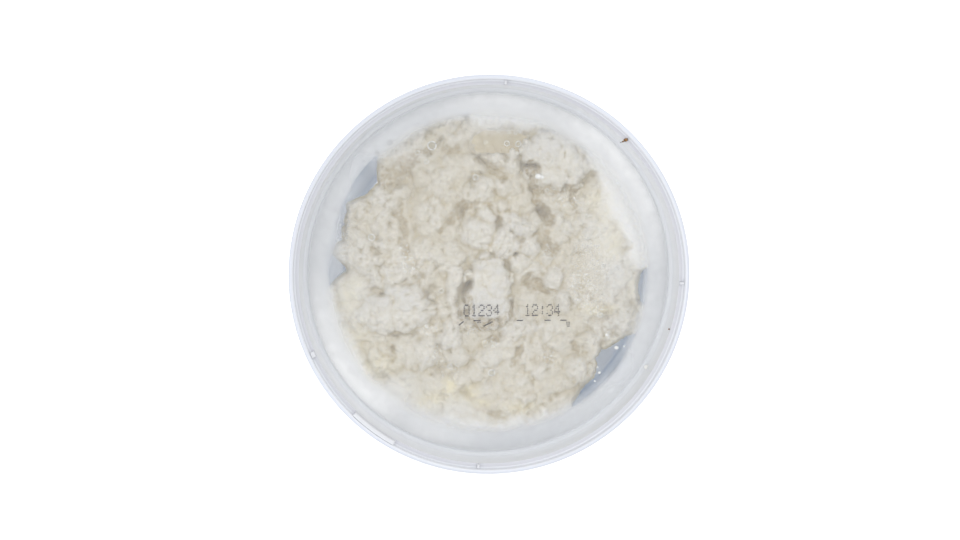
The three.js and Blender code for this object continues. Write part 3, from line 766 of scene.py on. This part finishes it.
def whey_pool():
    shape = bmesh.new()
    bmesh.ops.create_circle(shape, cap_ends=True, segments=POOL_STEPS, radius=1)
    for vert in shape.verts:
        angle = math.atan2(vert.co.y, vert.co.x)
        wander = 1 + 0.05 * math.sin(3 * angle + 0.6) + 0.04 * math.sin(7 * angle)
        wander += 0.03 * math.sin(13 * angle)
        along = math.cos(angle)
        across = math.sin(angle)
        square = (abs(along) ** POOL_SQUARENESS + abs(across) ** POOL_SQUARENESS) ** (-1 / POOL_SQUARENESS)
        x = POOL_MIDDLE[0] + POOL_HALF[0] * POOL_OVERLAP * square * wander * along
        y = POOL_MIDDLE[1] - POOL_FORWARD + POOL_HALF[1] * POOL_OVERLAP * square * wander * across
        y -= POOL_BEND * (x - POOL_MIDDLE[0]) ** 2
        vert.co = (x * MM, y * MM, POOL_LEVEL * MM)
    return thickened_down(shape, POOL_DEPTH)


def cloudy_whey():
    finish, place = new_finish("cloudy_whey")
    drift = noise(finish, place, 240, 4, Distortion=0.6)
    settled = spread(finish, part_of(finish, place, "X"), 2 * MM, 11 * MM, 0, -0.3)
    colour = mixed(finish, reckoned(finish, "ADD", drift, settled, use_clamp=True), WHEY_STRAW, WHEY_MILKY)
    opacity = spread(finish, drift, 0.3, 0.7, 0.5, 0.75)
    return close_finish(finish, skin(finish, colour, 0.08, drift, 0.08, 0.4, {"Alpha": opacity, "IOR": 1.34}))


pool = piece_from("whey_pool", whey_pool(), cloudy_whey())
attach(pool, "root")

# ---------- Lid ----------
# One thin moulding of clear polypropylene, pressed over the neck: a flat panel let in below the rim, a
# ledge that sits on the tub, a raised bead, a skirt with an inner rib, a lifting tab, four small stops and
# the gate's pip.

LID_ROUND_STEPS = 720
LID_RADIUS = 55
LID_SHEET = 0.6
PANEL_TOP = 48.5
PANEL_UNDER = PANEL_TOP - LID_SHEET
LEDGE_TOP = 55
LEDGE_INNER = 52.4
BEAD_INNER = 53.75
LID_OUTLINE = [
    # underside, from the middle out to the skirt
    (0, PANEL_UNDER), (51, PANEL_UNDER), (52.06, 48.34), (52.5, 49.3), (53, 54.4), (54.4, 54.4),
    (54.4, 51.4), (54.15, 50.6), (54.4, 49.8), (54.4, 49.4),
    # up the outside, over the bead, across the ledge and down into the recess
    (LID_RADIUS, 49.4), (LID_RADIUS, 56.5), (54.85, 56.85), (54.5, 57), (54.25, 57), (53.9, 56.85),
    (BEAD_INNER, 56.5), (BEAD_INNER, LEDGE_TOP), (LEDGE_INNER, LEDGE_TOP), (51.9, 49.3), (51.64, 48.76),
    (51, PANEL_TOP), (0.8, PANEL_TOP), (0.8, PANEL_TOP + 0.3), (0, PANEL_TOP + 0.5),
]
LID_CORNER = 0.08
# lifting tab: from and to which angle
TAB = (225, 240)
TAB_RISE = 1.9
# small stops: angle and width in degrees
STOPS = [(203.5, 2.4), (266.5, 0.9), (358, 1.1), (85.5, 0.9)]
STOP_RISE = 1.1
BLOCK_INSET = 0.02
BLOCK_ROUNDING = 0.4
# edges further out than this stay crisp, where the tab and stops grow out of the bead
ROUNDED_WITHIN = BEAD_INNER - 0.3
# the raised tab and stops are painted whiter: a painted highlight
RAISED_HIGHLIGHT_WHITE = (0.74, 0.755, 0.79, 1)
# tint and opacity along the radius: clear on the panel, milky on the wall, ledge and bead. The tint also
# holds painted light and shade: a faint dark line at the foot of the recess wall, a light recess wall,
# painted shade in darker grey on the ledge, and a bead painted lighter on its inner side and darker towards
# its outer edge
TINTS_AND_PAINTED_LIGHT = [
    (50, (0.86, 0.88, 0.90, 1)), (51.0, (0.80, 0.82, 0.85, 1)), (51.4, (0.79, 0.81, 0.84, 1)),
    (51.85, (0.82, 0.84, 0.88, 1)), (52.0, (0.93, 0.95, 0.97, 1)), (52.38, (0.91, 0.93, 0.95, 1)),
    (52.42, (0.64, 0.65, 0.70, 1)), (53.3, (0.66, 0.67, 0.72, 1)), (53.45, (0.76, 0.78, 0.82, 1)),
    (53.85, (0.75, 0.77, 0.82, 1)), (54.3, (0.66, 0.69, 0.76, 1)), (54.95, (0.56, 0.59, 0.67, 1)),
]
OPACITIES = [
    (50, 0.08), (50.6, 0.25), (51.2, 0.5), (51.8, 0.66), (52.0, 0.66), (52.38, 0.66), (52.42, 0.85),
    (53.25, 0.85), (53.4, 0.95), (55, 0.95),
]
RAMP_FROM = 50
RAMP_TO = 56


def radius_of(edge):
    """How far an edge's middle is from the tub's axis."""
    start, end = (v.co.to_2d() for v in edge.verts)
    return (start + end).length / 2


def clear_lid():
    shape = turned(LID_OUTLINE, LID_ROUND_STEPS, corner=LID_CORNER)
    ledge = []
    for face in shape.faces:
        middle = face.calc_center_median()
        flat = face.normal.z > 0.95 and abs(middle.z / MM - LEDGE_TOP) < 0.02
        if flat and LEDGE_INNER < middle.to_2d().length / MM < BEAD_INNER:
            ledge.append((math.degrees(math.atan2(middle.y, middle.x)) % 360, face))
    raised = [(TAB[0], TAB[1], TAB_RISE)]
    raised += [(angle - width / 2, angle + width / 2, STOP_RISE) for angle, width in STOPS]
    for start, end, rise in raised:
        faces = [face for angle, face in ledge if start < angle < end]
        bmesh.ops.inset_region(shape, faces=faces, thickness=BLOCK_INSET * MM)
        made = bmesh.ops.extrude_face_region(shape, geom=faces)["geom"]
        bmesh.ops.delete(shape, geom=faces, context="FACES_ONLY")
        top = {v for v in made if isinstance(v, bmesh.types.BMVert)}
        bmesh.ops.translate(shape, verts=list(top), vec=(0, 0, rise * MM))
        brink = [e for f in made if isinstance(f, bmesh.types.BMFace) for e in f.edges]
        brink = {e for e in brink if any(not top.issuperset(f.verts) for f in e.link_faces)}
        brink = [e for e in brink if radius_of(e) < ROUNDED_WITHIN * MM]
        bmesh.ops.bevel(
            shape, geom=brink, offset=BLOCK_ROUNDING * MM, segments=3, profile=0.5, affect="EDGES",
            material=-1,
        )
    bmesh.ops.recalc_face_normals(shape, faces=shape.faces)
    return shape


def clear_plastic():
    finish, place = new_finish("clear_plastic")
    x, y, z = (part_of(finish, place, axis) for axis in "XYZ")
    flat = put(finish, "CombineXYZ", {"X": x, "Y": y}).outputs[0]
    radius = put(finish, "VectorMath", {0: flat}, operation="LENGTH").outputs["Value"]
    out = put(finish, "MapRange", {0: radius, 1: RAMP_FROM * MM, 2: RAMP_TO * MM}).outputs[0]

    def ramp(stops):
        made = put(finish, "ValToRGB", {0: out})
        points = made.color_ramp.elements
        while len(points) < len(stops):
            points.new(0.5)
        for point, (r, colour) in zip(points, stops):
            point.position = (r - RAMP_FROM) / (RAMP_TO - RAMP_FROM)
            point.color = colour
        return made.outputs["Color"]

    # painted highlight: raised parts of the ledge, inside the bead, are painted whiter
    raised = spread(finish, z, (LEDGE_TOP + 0.1) * MM, (LEDGE_TOP + 0.5) * MM, 0, 1)
    inside = spread(finish, radius, BEAD_INNER * MM, (BEAD_INNER - 0.05) * MM, 0, 0.8)
    # the radial tints hold painted shade and painted highlight on the ledge, wall and bead
    colour = mixed(finish, reckoned(finish, "MULTIPLY", raised, inside), ramp(TINTS_AND_PAINTED_LIGHT), RAISED_HIGHLIGHT_WHITE)
    opacity = ramp([(r, (value, value, value, 1)) for r, value in OPACITIES])
    roughness = spread(finish, noise(finish, place, 60, 3), 0.3, 0.7, 0.12, 0.26)
    scuffs = noise(finish, place, 1400, 2)
    return close_finish(finish, skin(finish, colour, roughness, scuffs, 0.04, 0.2, {"Alpha": opacity}))


lid = piece_from("lid_clear", clear_lid(), clear_plastic())
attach(lid, "root")
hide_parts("lid")

# ---------- Mist ----------
# A thin film of condensed water and smeared whey that clings to the underside of the panel: almost clear
# where the curd touches, patchy over the hollows, and thicker in a milky ring towards the wall. The ring's
# tint is painted light and shade: whiter where it is thickest, grey elsewhere and greyest on one side.

MIST_LEVEL = PANEL_UNDER - 0.04
MIST_THICKNESS = 0.02
MIST_CELLS = 150
MIST_RADIUS = 50.9
# how dense the film is over the middle, what the ring adds as it sets in between two radii, and what is
# added further out, all round and where it is thickest
MIST_THIN = 0.05
MIST_RING = 0.42
RING_RADII = (43, 46.4)
MIST_OUTER = 0.1
MIST_THICK = 0.42
OUTER_RADII = (45.6, 49.4)
# where the milky ring is thickest, and its tint painted whitest as painted light: angle and half width in
# degrees, strength
MIST_SECTORS = [(42, 52, 1), (212, 44, 1), (84, 34, 0.6), (246, 24, 0.4)]
# where its tint is painted greyest, a painted shade: angle and half width in degrees
MIST_SHADE_SIDE = (282, 40)
# grey of the ring where it is not thick: painted shade
MIST_SHADE_GREY = (0.61, 0.625, 0.65, 1)
MIST_WHITE = (0.86, 0.865, 0.87, 1)
# patches: middle x and y, half length and width, strength
MIST_PATCHES = [
    (33, 10, 9, 22, 0.14), (38, -3, 8, 10, 0.14), (36, -14, 7, 5, 0.12), (-38, -8, 8, 12, 0.15),
    (-28, -34, 14, 7, 0.3), (-10, -39, 14, 5, 0.2), (-24, 35, 8, 7, 0.12), (-43, 8, 3, 12, 0.2),
    (45, -5, 3, 8, 0.12), (24, 39, 12, 5, 0.2), (2, 42, 12, 4, 0.2),
]
CLEAR_PATCHES = [
    (0.5, 0, 12, 16, 0.8), (2, 22, 14, 10, 0.8), (36, -26, 9, 9, 1), (-35, 29, 7, 9, 0.8),
    (27, -33, 10, 6, 0.8), (10, -36, 14, 8, 0.7),
]


def mist_film():
    shape, _, out, turn = round_sheet(MIST_CELLS)
    r = out * MIST_RADIUS
    x = r * np.cos(turn)
    y = r * np.sin(turn)
    move_to(shape.verts, x, y, np.full(x.shape, MIST_LEVEL))

    def near(angle, half):
        return bump(turn_between(np.degrees(turn), angle) / half)

    thick = np.zeros(x.shape)
    for angle, half, strength in MIST_SECTORS:
        thick = np.maximum(thick, strength * near(angle, half))
    fog = MIST_THIN + MIST_RING * smooth(r, *RING_RADII)
    fog = fog + (MIST_OUTER + MIST_THICK * thick) * smooth(r, *OUTER_RADII)
    for cx, cy, half, width, strength in MIST_PATCHES:
        fog = fog + strength * blob(x, y, cx, cy, half, width)
    for cx, cy, half, width, strength in CLEAR_PATCHES:
        fog = fog * (1 - strength * blob(x, y, cx, cy, half, width))
    fog = fog * clouded(1, x, y, (0.06, 9, 31), (0.03, 3, 32))
    # painted light and shade: the ring's tint is whiter where it is thickest and grey elsewhere, greyest on
    # the shaded side; white over the middle
    white = np.maximum(np.sqrt(thick), 0.35 * (1 - near(*MIST_SHADE_SIDE)))
    white = np.maximum(white, 1 - smooth(r, 41.5, 45))
    piece = piece_from("lid_mist", thickened_down(shape, MIST_THICKNESS), misted())
    add_field(piece.data, "fog", np.tile(fog, 2))
    add_field(piece.data, "whiteness", np.tile(white, 2))
    return piece


def misted():
    finish, place = new_finish("mist")
    breath = noise(finish, place, 260, 2)
    broken = spread(finish, breath, 0.35, 0.65, 1.06, 0.94)
    opacity = reckoned(finish, "MULTIPLY", painted(finish, "fog"), broken, use_clamp=True)
    # grey to white tint from the painted light and shade field
    tint = mixed(finish, painted(finish, "whiteness"), MIST_SHADE_GREY, MIST_WHITE)
    return close_finish(finish, skin(finish, tint, 0.5, breath, 0.02, 0.1, {"Alpha": opacity}))


mist = mist_film()
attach(mist, "root")

# ---------- Drops and bubbles ----------
# Condensed drops that hang under the panel, flattened domes of clear water, each ringed by a thin white ring
# that is a painted highlight for the bright rim that light gives a drop, and fine drops in patches between
# them.

DROP_FLATNESS = 0.45
DROP_TOP = PANEL_UNDER - 0.06
RIM_THICKNESS = 0.2
# drops: middle x and y, radius
DROPS = [
    (-27.6, 36.9, 0.85), (-31.1, 34, 0.62), (-35.1, 31.6, 0.42), (-42.4, 18, 0.57), (-44.4, 13.1, 0.57),
    (-44.6, 7.5, 0.42), (8.2, 36.6, 0.74), (31.6, -11.7, 0.65), (32.5, 2.4, 0.57), (33.6, -1.2, 0.57),
    (36.4, 1.9, 0.62), (32.7, 12.9, 0.45), (0.8, -28.1, 0.85), (-17.4, 31.6, 0.57), (-19.9, 34.1, 0.57),
    (-15.9, 36.1, 1.13), (-3.8, 27.3, 0.71), (18.3, 24.2, 0.42), (16.3, 23.7, 0.42), (27.6, 16.6, 0.42),
    (-11.1, -26.1, 0.62), (-13.4, -4.6, 0.57), (37.5, -10.9, 0.42), (34.4, 0.5, 0.45), (5, 36.7, 0.68),
    (-0.9, 37, 0.45), (-0.2, 40.7, 0.37), (0.9, 40.7, 0.37), (2.6, 40.1, 0.37), (5.5, 39.8, 0.37),
    (7.4, 39.6, 0.37), (8.5, 40.1, 0.4), (-32.9, 10.6, 0.85),
]
# patches of fine drops: middle x and y, half length and width, how many
FINE_PATCHES = [
    (27.9, 1, 4, 9.1, 260), (-17.4, -15.7, 2.5, 1.4, 60), (-23.9, 5.3, 1.4, 4.5, 60),
    (-14.3, -23, 1.4, 2.3, 30), (17.2, -22.8, 1.7, 3.4, 50), (16.3, 6.7, 1.1, 1.7, 20),
    (28.8, -4.6, 5.7, 5.7, 200), (31.6, -16, 4.2, 2.8, 60), (-29, 35, 2.3, 2.3, 40),
    (-22.2, 3.3, 1.7, 2.3, 40), (-5.2, -15.4, 2.3, 1.4, 30), (0.5, -19.4, 2.3, 1.4, 30),
    (-10.9, -27.3, 2.3, 2.8, 50), (21.7, 20.8, 3.4, 1.7, 60), (-40.6, 10.9, 1.7, 7.1, 60),
]
FINE_SEED = 7
FINE_SMALLEST = 0.1
FINE_LARGEST = 0.24
PATCH_SPREAD = 1.15
# white of the fine drops, and of the rings that are painted highlights round the larger drops
FROTH_AND_HIGHLIGHT_WHITE = (0.86, 0.86, 0.84, 1)
WATER_CLEAR = (0.96, 0.98, 0.99, 1)


def hung(shape, spots, flatness, sink):
    """Repeats one shape under the panel, at each spot's own radius, and lower by a share of that."""
    stamp = bpy.data.meshes.new("stamp")
    shape.to_mesh(stamp)
    shape.free()
    whole = bmesh.new()
    for x, y, radius in spots:
        place = Matrix.Translation((x * MM, y * MM, DROP_TOP * MM - sink * radius * MM))
        place = place @ Matrix.Diagonal((radius * MM, radius * MM, radius * flatness * MM, 1))
        stamp.transform(place)
        whole.from_mesh(stamp)
        stamp.transform(place.inverted())
    bpy.data.meshes.remove(stamp)
    return whole


def hang_drops(spots, around, up):
    """Half drops, flat side up against the panel."""
    drop = bmesh.new()
    bmesh.ops.create_uvsphere(drop, u_segments=around, v_segments=up, radius=1)
    cut = bmesh.ops.bisect_plane(
        drop, geom=drop.verts[:] + drop.edges[:] + drop.faces[:], plane_co=(0, 0, 0), plane_no=(0, 0, 1),
        clear_outer=True,
    )
    rim = [e for e in cut["geom_cut"] if isinstance(e, bmesh.types.BMEdge)]
    bmesh.ops.holes_fill(drop, edges=rim, sides=0)
    bmesh.ops.recalc_face_normals(drop, faces=drop.faces)
    return hung(drop, spots, DROP_FLATNESS, 0)


def drop_highlight_rims(spots):
    """A thin white ring round each of the larger drops: a painted highlight for the bright rim that light
    gives a drop.
    """
    ring = bmesh.new()
    upright = Matrix.Translation((1, 0, 0)) @ Matrix.Rotation(math.pi / 2, 4, "X")
    bmesh.ops.create_circle(ring, segments=6, radius=RIM_THICKNESS, matrix=upright)
    bmesh.ops.spin(
        ring, geom=ring.verts[:] + ring.edges[:], axis=(0, 0, 1), cent=(0, 0, 0), steps=24, angle=2 * math.pi,
        use_merge=True,
    )
    bmesh.ops.recalc_face_normals(ring, faces=ring.faces)
    return hung(ring, spots, 1, RIM_THICKNESS)


# a whitish, partly see-through finish: on the rings round the drops it is a painted highlight
def froth_and_highlight(name, most, least):
    finish, place = new_finish(name)
    breaks = noise(finish, place, 1500, 2)
    opacity = spread(finish, breaks, 0.4, 0.65, most, least)
    return close_finish(finish, skin(finish, FROTH_AND_HIGHLIGHT_WHITE, 0.3, breaks, 0.1, 0.1, {"Alpha": opacity}))


def clear_water():
    finish, place = new_finish("clear_water")
    ripple = noise(finish, place, 900, 1)
    water = {"IOR": 1.33, "Transmission Weight": 1.0}
    return close_finish(finish, skin(finish, WATER_CLEAR, 0.03, ripple, 0.05, 0.1, water))


drops = piece_from("hanging_drops", hang_drops(DROPS, 20, 12), clear_water(), sharp_angle=60)
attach(drops, "root")

# white rings round the drops: a painted highlight
rims = piece_from("drop_highlight_rims", drop_highlight_rims(DROPS), froth_and_highlight("froth_and_highlight", 0.95, 0.4), sharp_angle=60)
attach(rims, "root")

fine_draw = np.random.default_rng(FINE_SEED)
fine_spots = []
for cx, cy, half, width, count in FINE_PATCHES:
    for _ in range(count):
        turn = fine_draw.uniform(0, 2 * math.pi)
        away = math.sqrt(fine_draw.uniform(0, 1)) * PATCH_SPREAD
        radius = fine_draw.uniform(FINE_SMALLEST, FINE_LARGEST)
        fine_spots.append((cx + half * away * math.cos(turn), cy + width * away * math.sin(turn), radius))
fine_shape = hang_drops(fine_spots, 8, 4)
fine_drops = piece_from("fine_drops", fine_shape, froth_and_highlight("fine_froth", 0.45, 0.1), sharp_angle=60)
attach(fine_drops, "root")

# ---------- Stray crumbs ----------
# Small white crumbs of curd, held by their own wet to the underside of the panel, and one on the foot of
# the recess wall.

# crumbs: middle x and y, radius
CRUMBS = [
    (36.4, -21.1, 0.62), (31.6, -28.3, 0.45), (30.3, -30.7, 0.34), (38.6, -20.7, 0.28), (31, -26.7, 0.28),
    (33.6, -17.4, 0.5), (13.8, 27.6, 0.9), (14.9, 27.4, 0.6), (44.7, -26.3, 0.8),
]
# a crumb further out than this is the one on the recess wall, this far above the panel
PANEL_EDGE = 50
WALL_CRUMB_RISE = 1.6
CRUMB_SHAKE = 0.05
CRUMB_SHADE = (0.68, 0.68, 0.67, 1)
CRUMB_WHITE = (0.76, 0.76, 0.75, 1)
CRUMB_SEED = 5

crumb_draw = np.random.default_rng(CRUMB_SEED)


def add_crumb(shape, middle, halves, shake, across):
    """A small lump whose points are each shaken by a share of how far it is across."""
    place = Matrix.Translation([value * MM for value in middle])
    size = Matrix.Diagonal([value * MM for value in halves] + [1])
    made = bmesh.ops.create_icosphere(shape, subdivisions=3, radius=1, matrix=place @ size)["verts"]
    for vert in made:
        vert.co += Vector(crumb_draw.uniform(-shake, shake, 3)) * across * MM
    return made


def crumb_finish():
    finish, place = new_finish("crumb_white")
    mottle = noise(finish, place, 2500, 2)
    tint = mixed(finish, mottle, CRUMB_SHADE, CRUMB_WHITE)
    return close_finish(finish, skin(finish, tint, 0.5, mottle, 0.2, 0.1))


crumb_shape = bmesh.new()
for x, y, radius in CRUMBS:
    level = PANEL_UNDER - 0.1 - radius * 0.35
    if math.hypot(x, y) > PANEL_EDGE:
        level = PANEL_TOP + WALL_CRUMB_RISE
    halves = (radius, radius * 0.85, radius * 0.5)
    made = add_crumb(crumb_shape, (x, y, level), halves, CRUMB_SHAKE, radius)
    bmesh.ops.smooth_vert(
        crumb_shape, verts=made, factor=0.5, use_axis_x=True, use_axis_y=True, use_axis_z=True,
    )
crumbs = piece_from("stray_crumbs", crumb_shape, crumb_finish(), sharp_angle=180)
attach(crumbs, "root")

# ---------- Printed code ----------
# Plain numbers in dots of black ink, jetted straight onto the top of the panel, and the broken dashes of a
# second row.

INK_LEVEL = PANEL_TOP
INK_THICKNESS = 0.03
INK_BLACK = (0.05, 0.05, 0.06, 1)
INK_WORN = (0.16, 0.16, 0.18, 1)
INK_SEED = 3
DOT_RADIUS = 0.2
DOT_ACROSS = 0.35
DOT_UP = 0.5
DOT_STRAY = 0.04
DOTS_MISSING = 0.06
DASH_SPACING = 0.3
CHARACTER_PITCH = 2.1
FIRST_ROW_TOP = -8.6
DIGITS = {
    "0": "01110 10001 10001 10001 10001 10001 01110",
    "1": "00100 01100 00100 00100 00100 00100 01110",
    "2": "01110 10001 00001 00110 01000 10000 11111",
    "3": "01110 10001 00001 00110 00001 10001 01110",
    "4": "00010 00110 01010 10010 11111 00010 00010",
    ":": "00000 00100 00100 00000 00100 00100 00000",
}
# groups of the first row: the characters, and the x where each group starts
GROUPS = [("01234", -7), ("12:34", 10.2)]
# broken dashes of the second row: start x and y, end x and y
DASHES = [
    (-8.4, -14.2, -7.3, -13.3), (-4.2, -13, -2.5, -13), (-3.1, -13.5, -2.5, -13.5),
    (-1.4, -14.5, 0.9, -13.4), (8, -13, 9.4, -13), (15.9, -13, 17.3, -13), (20.4, -13, 21.8, -13),
    (22.1, -13.6, 22.7, -13.6), (22.1, -14.1, 22.7, -14.1), (22.3, -14.7, 22.7, -14.7),
]


def ink_dot(shape, x, y):
    place = Matrix.Translation((x * MM, y * MM, (INK_LEVEL + INK_THICKNESS / 2) * MM))
    bmesh.ops.create_cone(
        shape, cap_ends=True, segments=8, radius1=DOT_RADIUS * MM, radius2=DOT_RADIUS * 0.8 * MM,
        depth=INK_THICKNESS * MM, matrix=place,
    )


def dot_ink():
    finish, place = new_finish("dot_ink")
    wear = noise(finish, place, 700, 3)
    tint = mixed(finish, wear, INK_BLACK, INK_WORN)
    opacity = spread(finish, wear, 0.3, 0.7, 0.95, 0.6)
    ink = put(finish, "BsdfPrincipled", {"Base Color": tint, "Alpha": opacity, "Roughness": 0.6})
    return close_finish(finish, ink.outputs[0])


ink_draw = np.random.default_rng(INK_SEED)
ink_shape = bmesh.new()
for text, start in GROUPS:
    for place_in_row, character in enumerate(text):
        for row, dots in enumerate(DIGITS[character].split()):
            for column, dot in enumerate(dots):
                if dot == "0" or ink_draw.uniform() < DOTS_MISSING:
                    continue
                x = start + place_in_row * CHARACTER_PITCH + column * DOT_ACROSS
                x += ink_draw.uniform(-DOT_STRAY, DOT_STRAY)
                y = FIRST_ROW_TOP - row * DOT_UP + ink_draw.uniform(-DOT_STRAY, DOT_STRAY)
                ink_dot(ink_shape, x, y)
for x0, y0, x1, y1 in DASHES:
    count = max(2, round(math.hypot(x1 - x0, y1 - y0) / DASH_SPACING))
    for i in range(count):
        t = i / (count - 1)
        ink_dot(ink_shape, mix(x0, x1, t), mix(y0, y1, t))
code = piece_from("printed_code", ink_shape, dot_ink())
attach(code, "root")

# ---------- Specks of dirt ----------
# One dried brown crumb with a thin tail, caught in the corner between the ledge and the bead, and a
# second dark speck by the ledge's inner edge.

# lumps: middle, then half length, width and height
SPECKS = [
    (37, 37.5, 55.25, 0.62, 0.42, 0.3), (36.3, 37.1, 55.2, 0.35, 0.22, 0.2),
    (35.7, 36.9, 55.1, 0.2, 0.12, 0.1), (37.3, 37.7, 55.45, 0.3, 0.3, 0.2),
    (49.8, -14.7, 55.1, 0.26, 0.2, 0.12),
]
SPECK_SHAKE = 0.12
DIRT_DARK = (0.05, 0.025, 0.012, 1)
DIRT_BROWN = (0.42, 0.22, 0.08, 1)


def dried_dirt():
    finish, place = new_finish("dried_dirt")
    mottle = noise(finish, place, 2600, 3)
    tint = mixed(finish, spread(finish, mottle, 0.4, 0.6, 0, 1), DIRT_DARK, DIRT_BROWN)
    return close_finish(finish, skin(finish, tint, 0.7, mottle, 0.4, 0.1))


speck_shape = bmesh.new()
for speck in SPECKS:
    add_crumb(speck_shape, speck[:3], speck[3:], SPECK_SHAKE, speck[4])
specks = piece_from("dirt_specks", speck_shape, dried_dirt(), sharp_angle=180)
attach(specks, "root")

# ---------- Studio ----------
# What stands round the part and isn't of it: a pale matt floor, an even white surround, two broad soft
# lights from either side, and the camera above.

FLOOR_SIDE = 6
FLOOR_SHADE = (0.93, 0.93, 0.93, 1)
FLOOR_WHITE = (0.95, 0.95, 0.95, 1)
FLOOR_GLOW = 0.25
EYE = Vector((-13.85, 31.39, 357)) * MM
AIM = Vector((-2.85, 2.19, 57)) * MM
FOCAL_LENGTH = 41.4
SENSOR_WIDTH = 36
SURROUND_STRENGTH = 0.9
KEY_STRENGTH = 0.76
KEY_SOFTNESS = 44
KEY_SIDES = {"key_right": Vector((0.45, 0.6, 1)), "key_left": Vector((-0.65, -0.3, 1))}


def pale_floor():
    finish, place = new_finish("pale_floor")
    tint = mixed(finish, noise(finish, place, 40, 2), FLOOR_SHADE, FLOOR_WHITE)
    return close_finish(finish, put(finish, "BsdfPrincipled", {
        "Base Color": tint, "Roughness": 0.9, "Specular IOR Level": 0.1, "Emission Color": (1, 1, 1, 1),
        "Emission Strength": FLOOR_GLOW,
    }).outputs[0])


floor_shape = bmesh.new()
bmesh.ops.create_grid(floor_shape, x_segments=1, y_segments=1, size=FLOOR_SIDE / 2)
floor = piece_from("floor", floor_shape, pale_floor())

surround = bpy.data.worlds.new("surround")
surround.use_nodes = True
surround.node_tree.nodes["Background"].inputs["Color"].default_value = (1, 1, 1, 1)
surround.node_tree.nodes["Background"].inputs["Strength"].default_value = SURROUND_STRENGTH
bpy.context.scene.world = surround

for name, side in KEY_SIDES.items():
    key_light = bpy.data.lights.new(name, "SUN")
    key_light.energy = KEY_STRENGTH
    key_light.angle = math.radians(KEY_SOFTNESS)
    key = bpy.data.objects.new(name, key_light)
    key.rotation_euler = side.to_track_quat("Z", "Y").to_euler()
    bpy.context.scene.collection.objects.link(key)

camera_data = bpy.data.cameras.new("camera")
camera_data.sensor_width = SENSOR_WIDTH
camera_data.lens = FOCAL_LENGTH
camera = bpy.data.objects.new("camera", camera_data)
back = (EYE - AIM).normalized()
right = Vector((0, 1, 0)).cross(back).normalized()
up = back.cross(right)
camera.matrix_world = Matrix.Translation(EYE) @ Matrix((right, up, back)).transposed().to_4x4()
bpy.context.scene.collection.objects.link(camera)
bpy.context.scene.camera = camera
bpy.context.scene.view_settings.view_transform = "Standard"
bpy.context.scene.cycles.transparent_max_bounces = 32
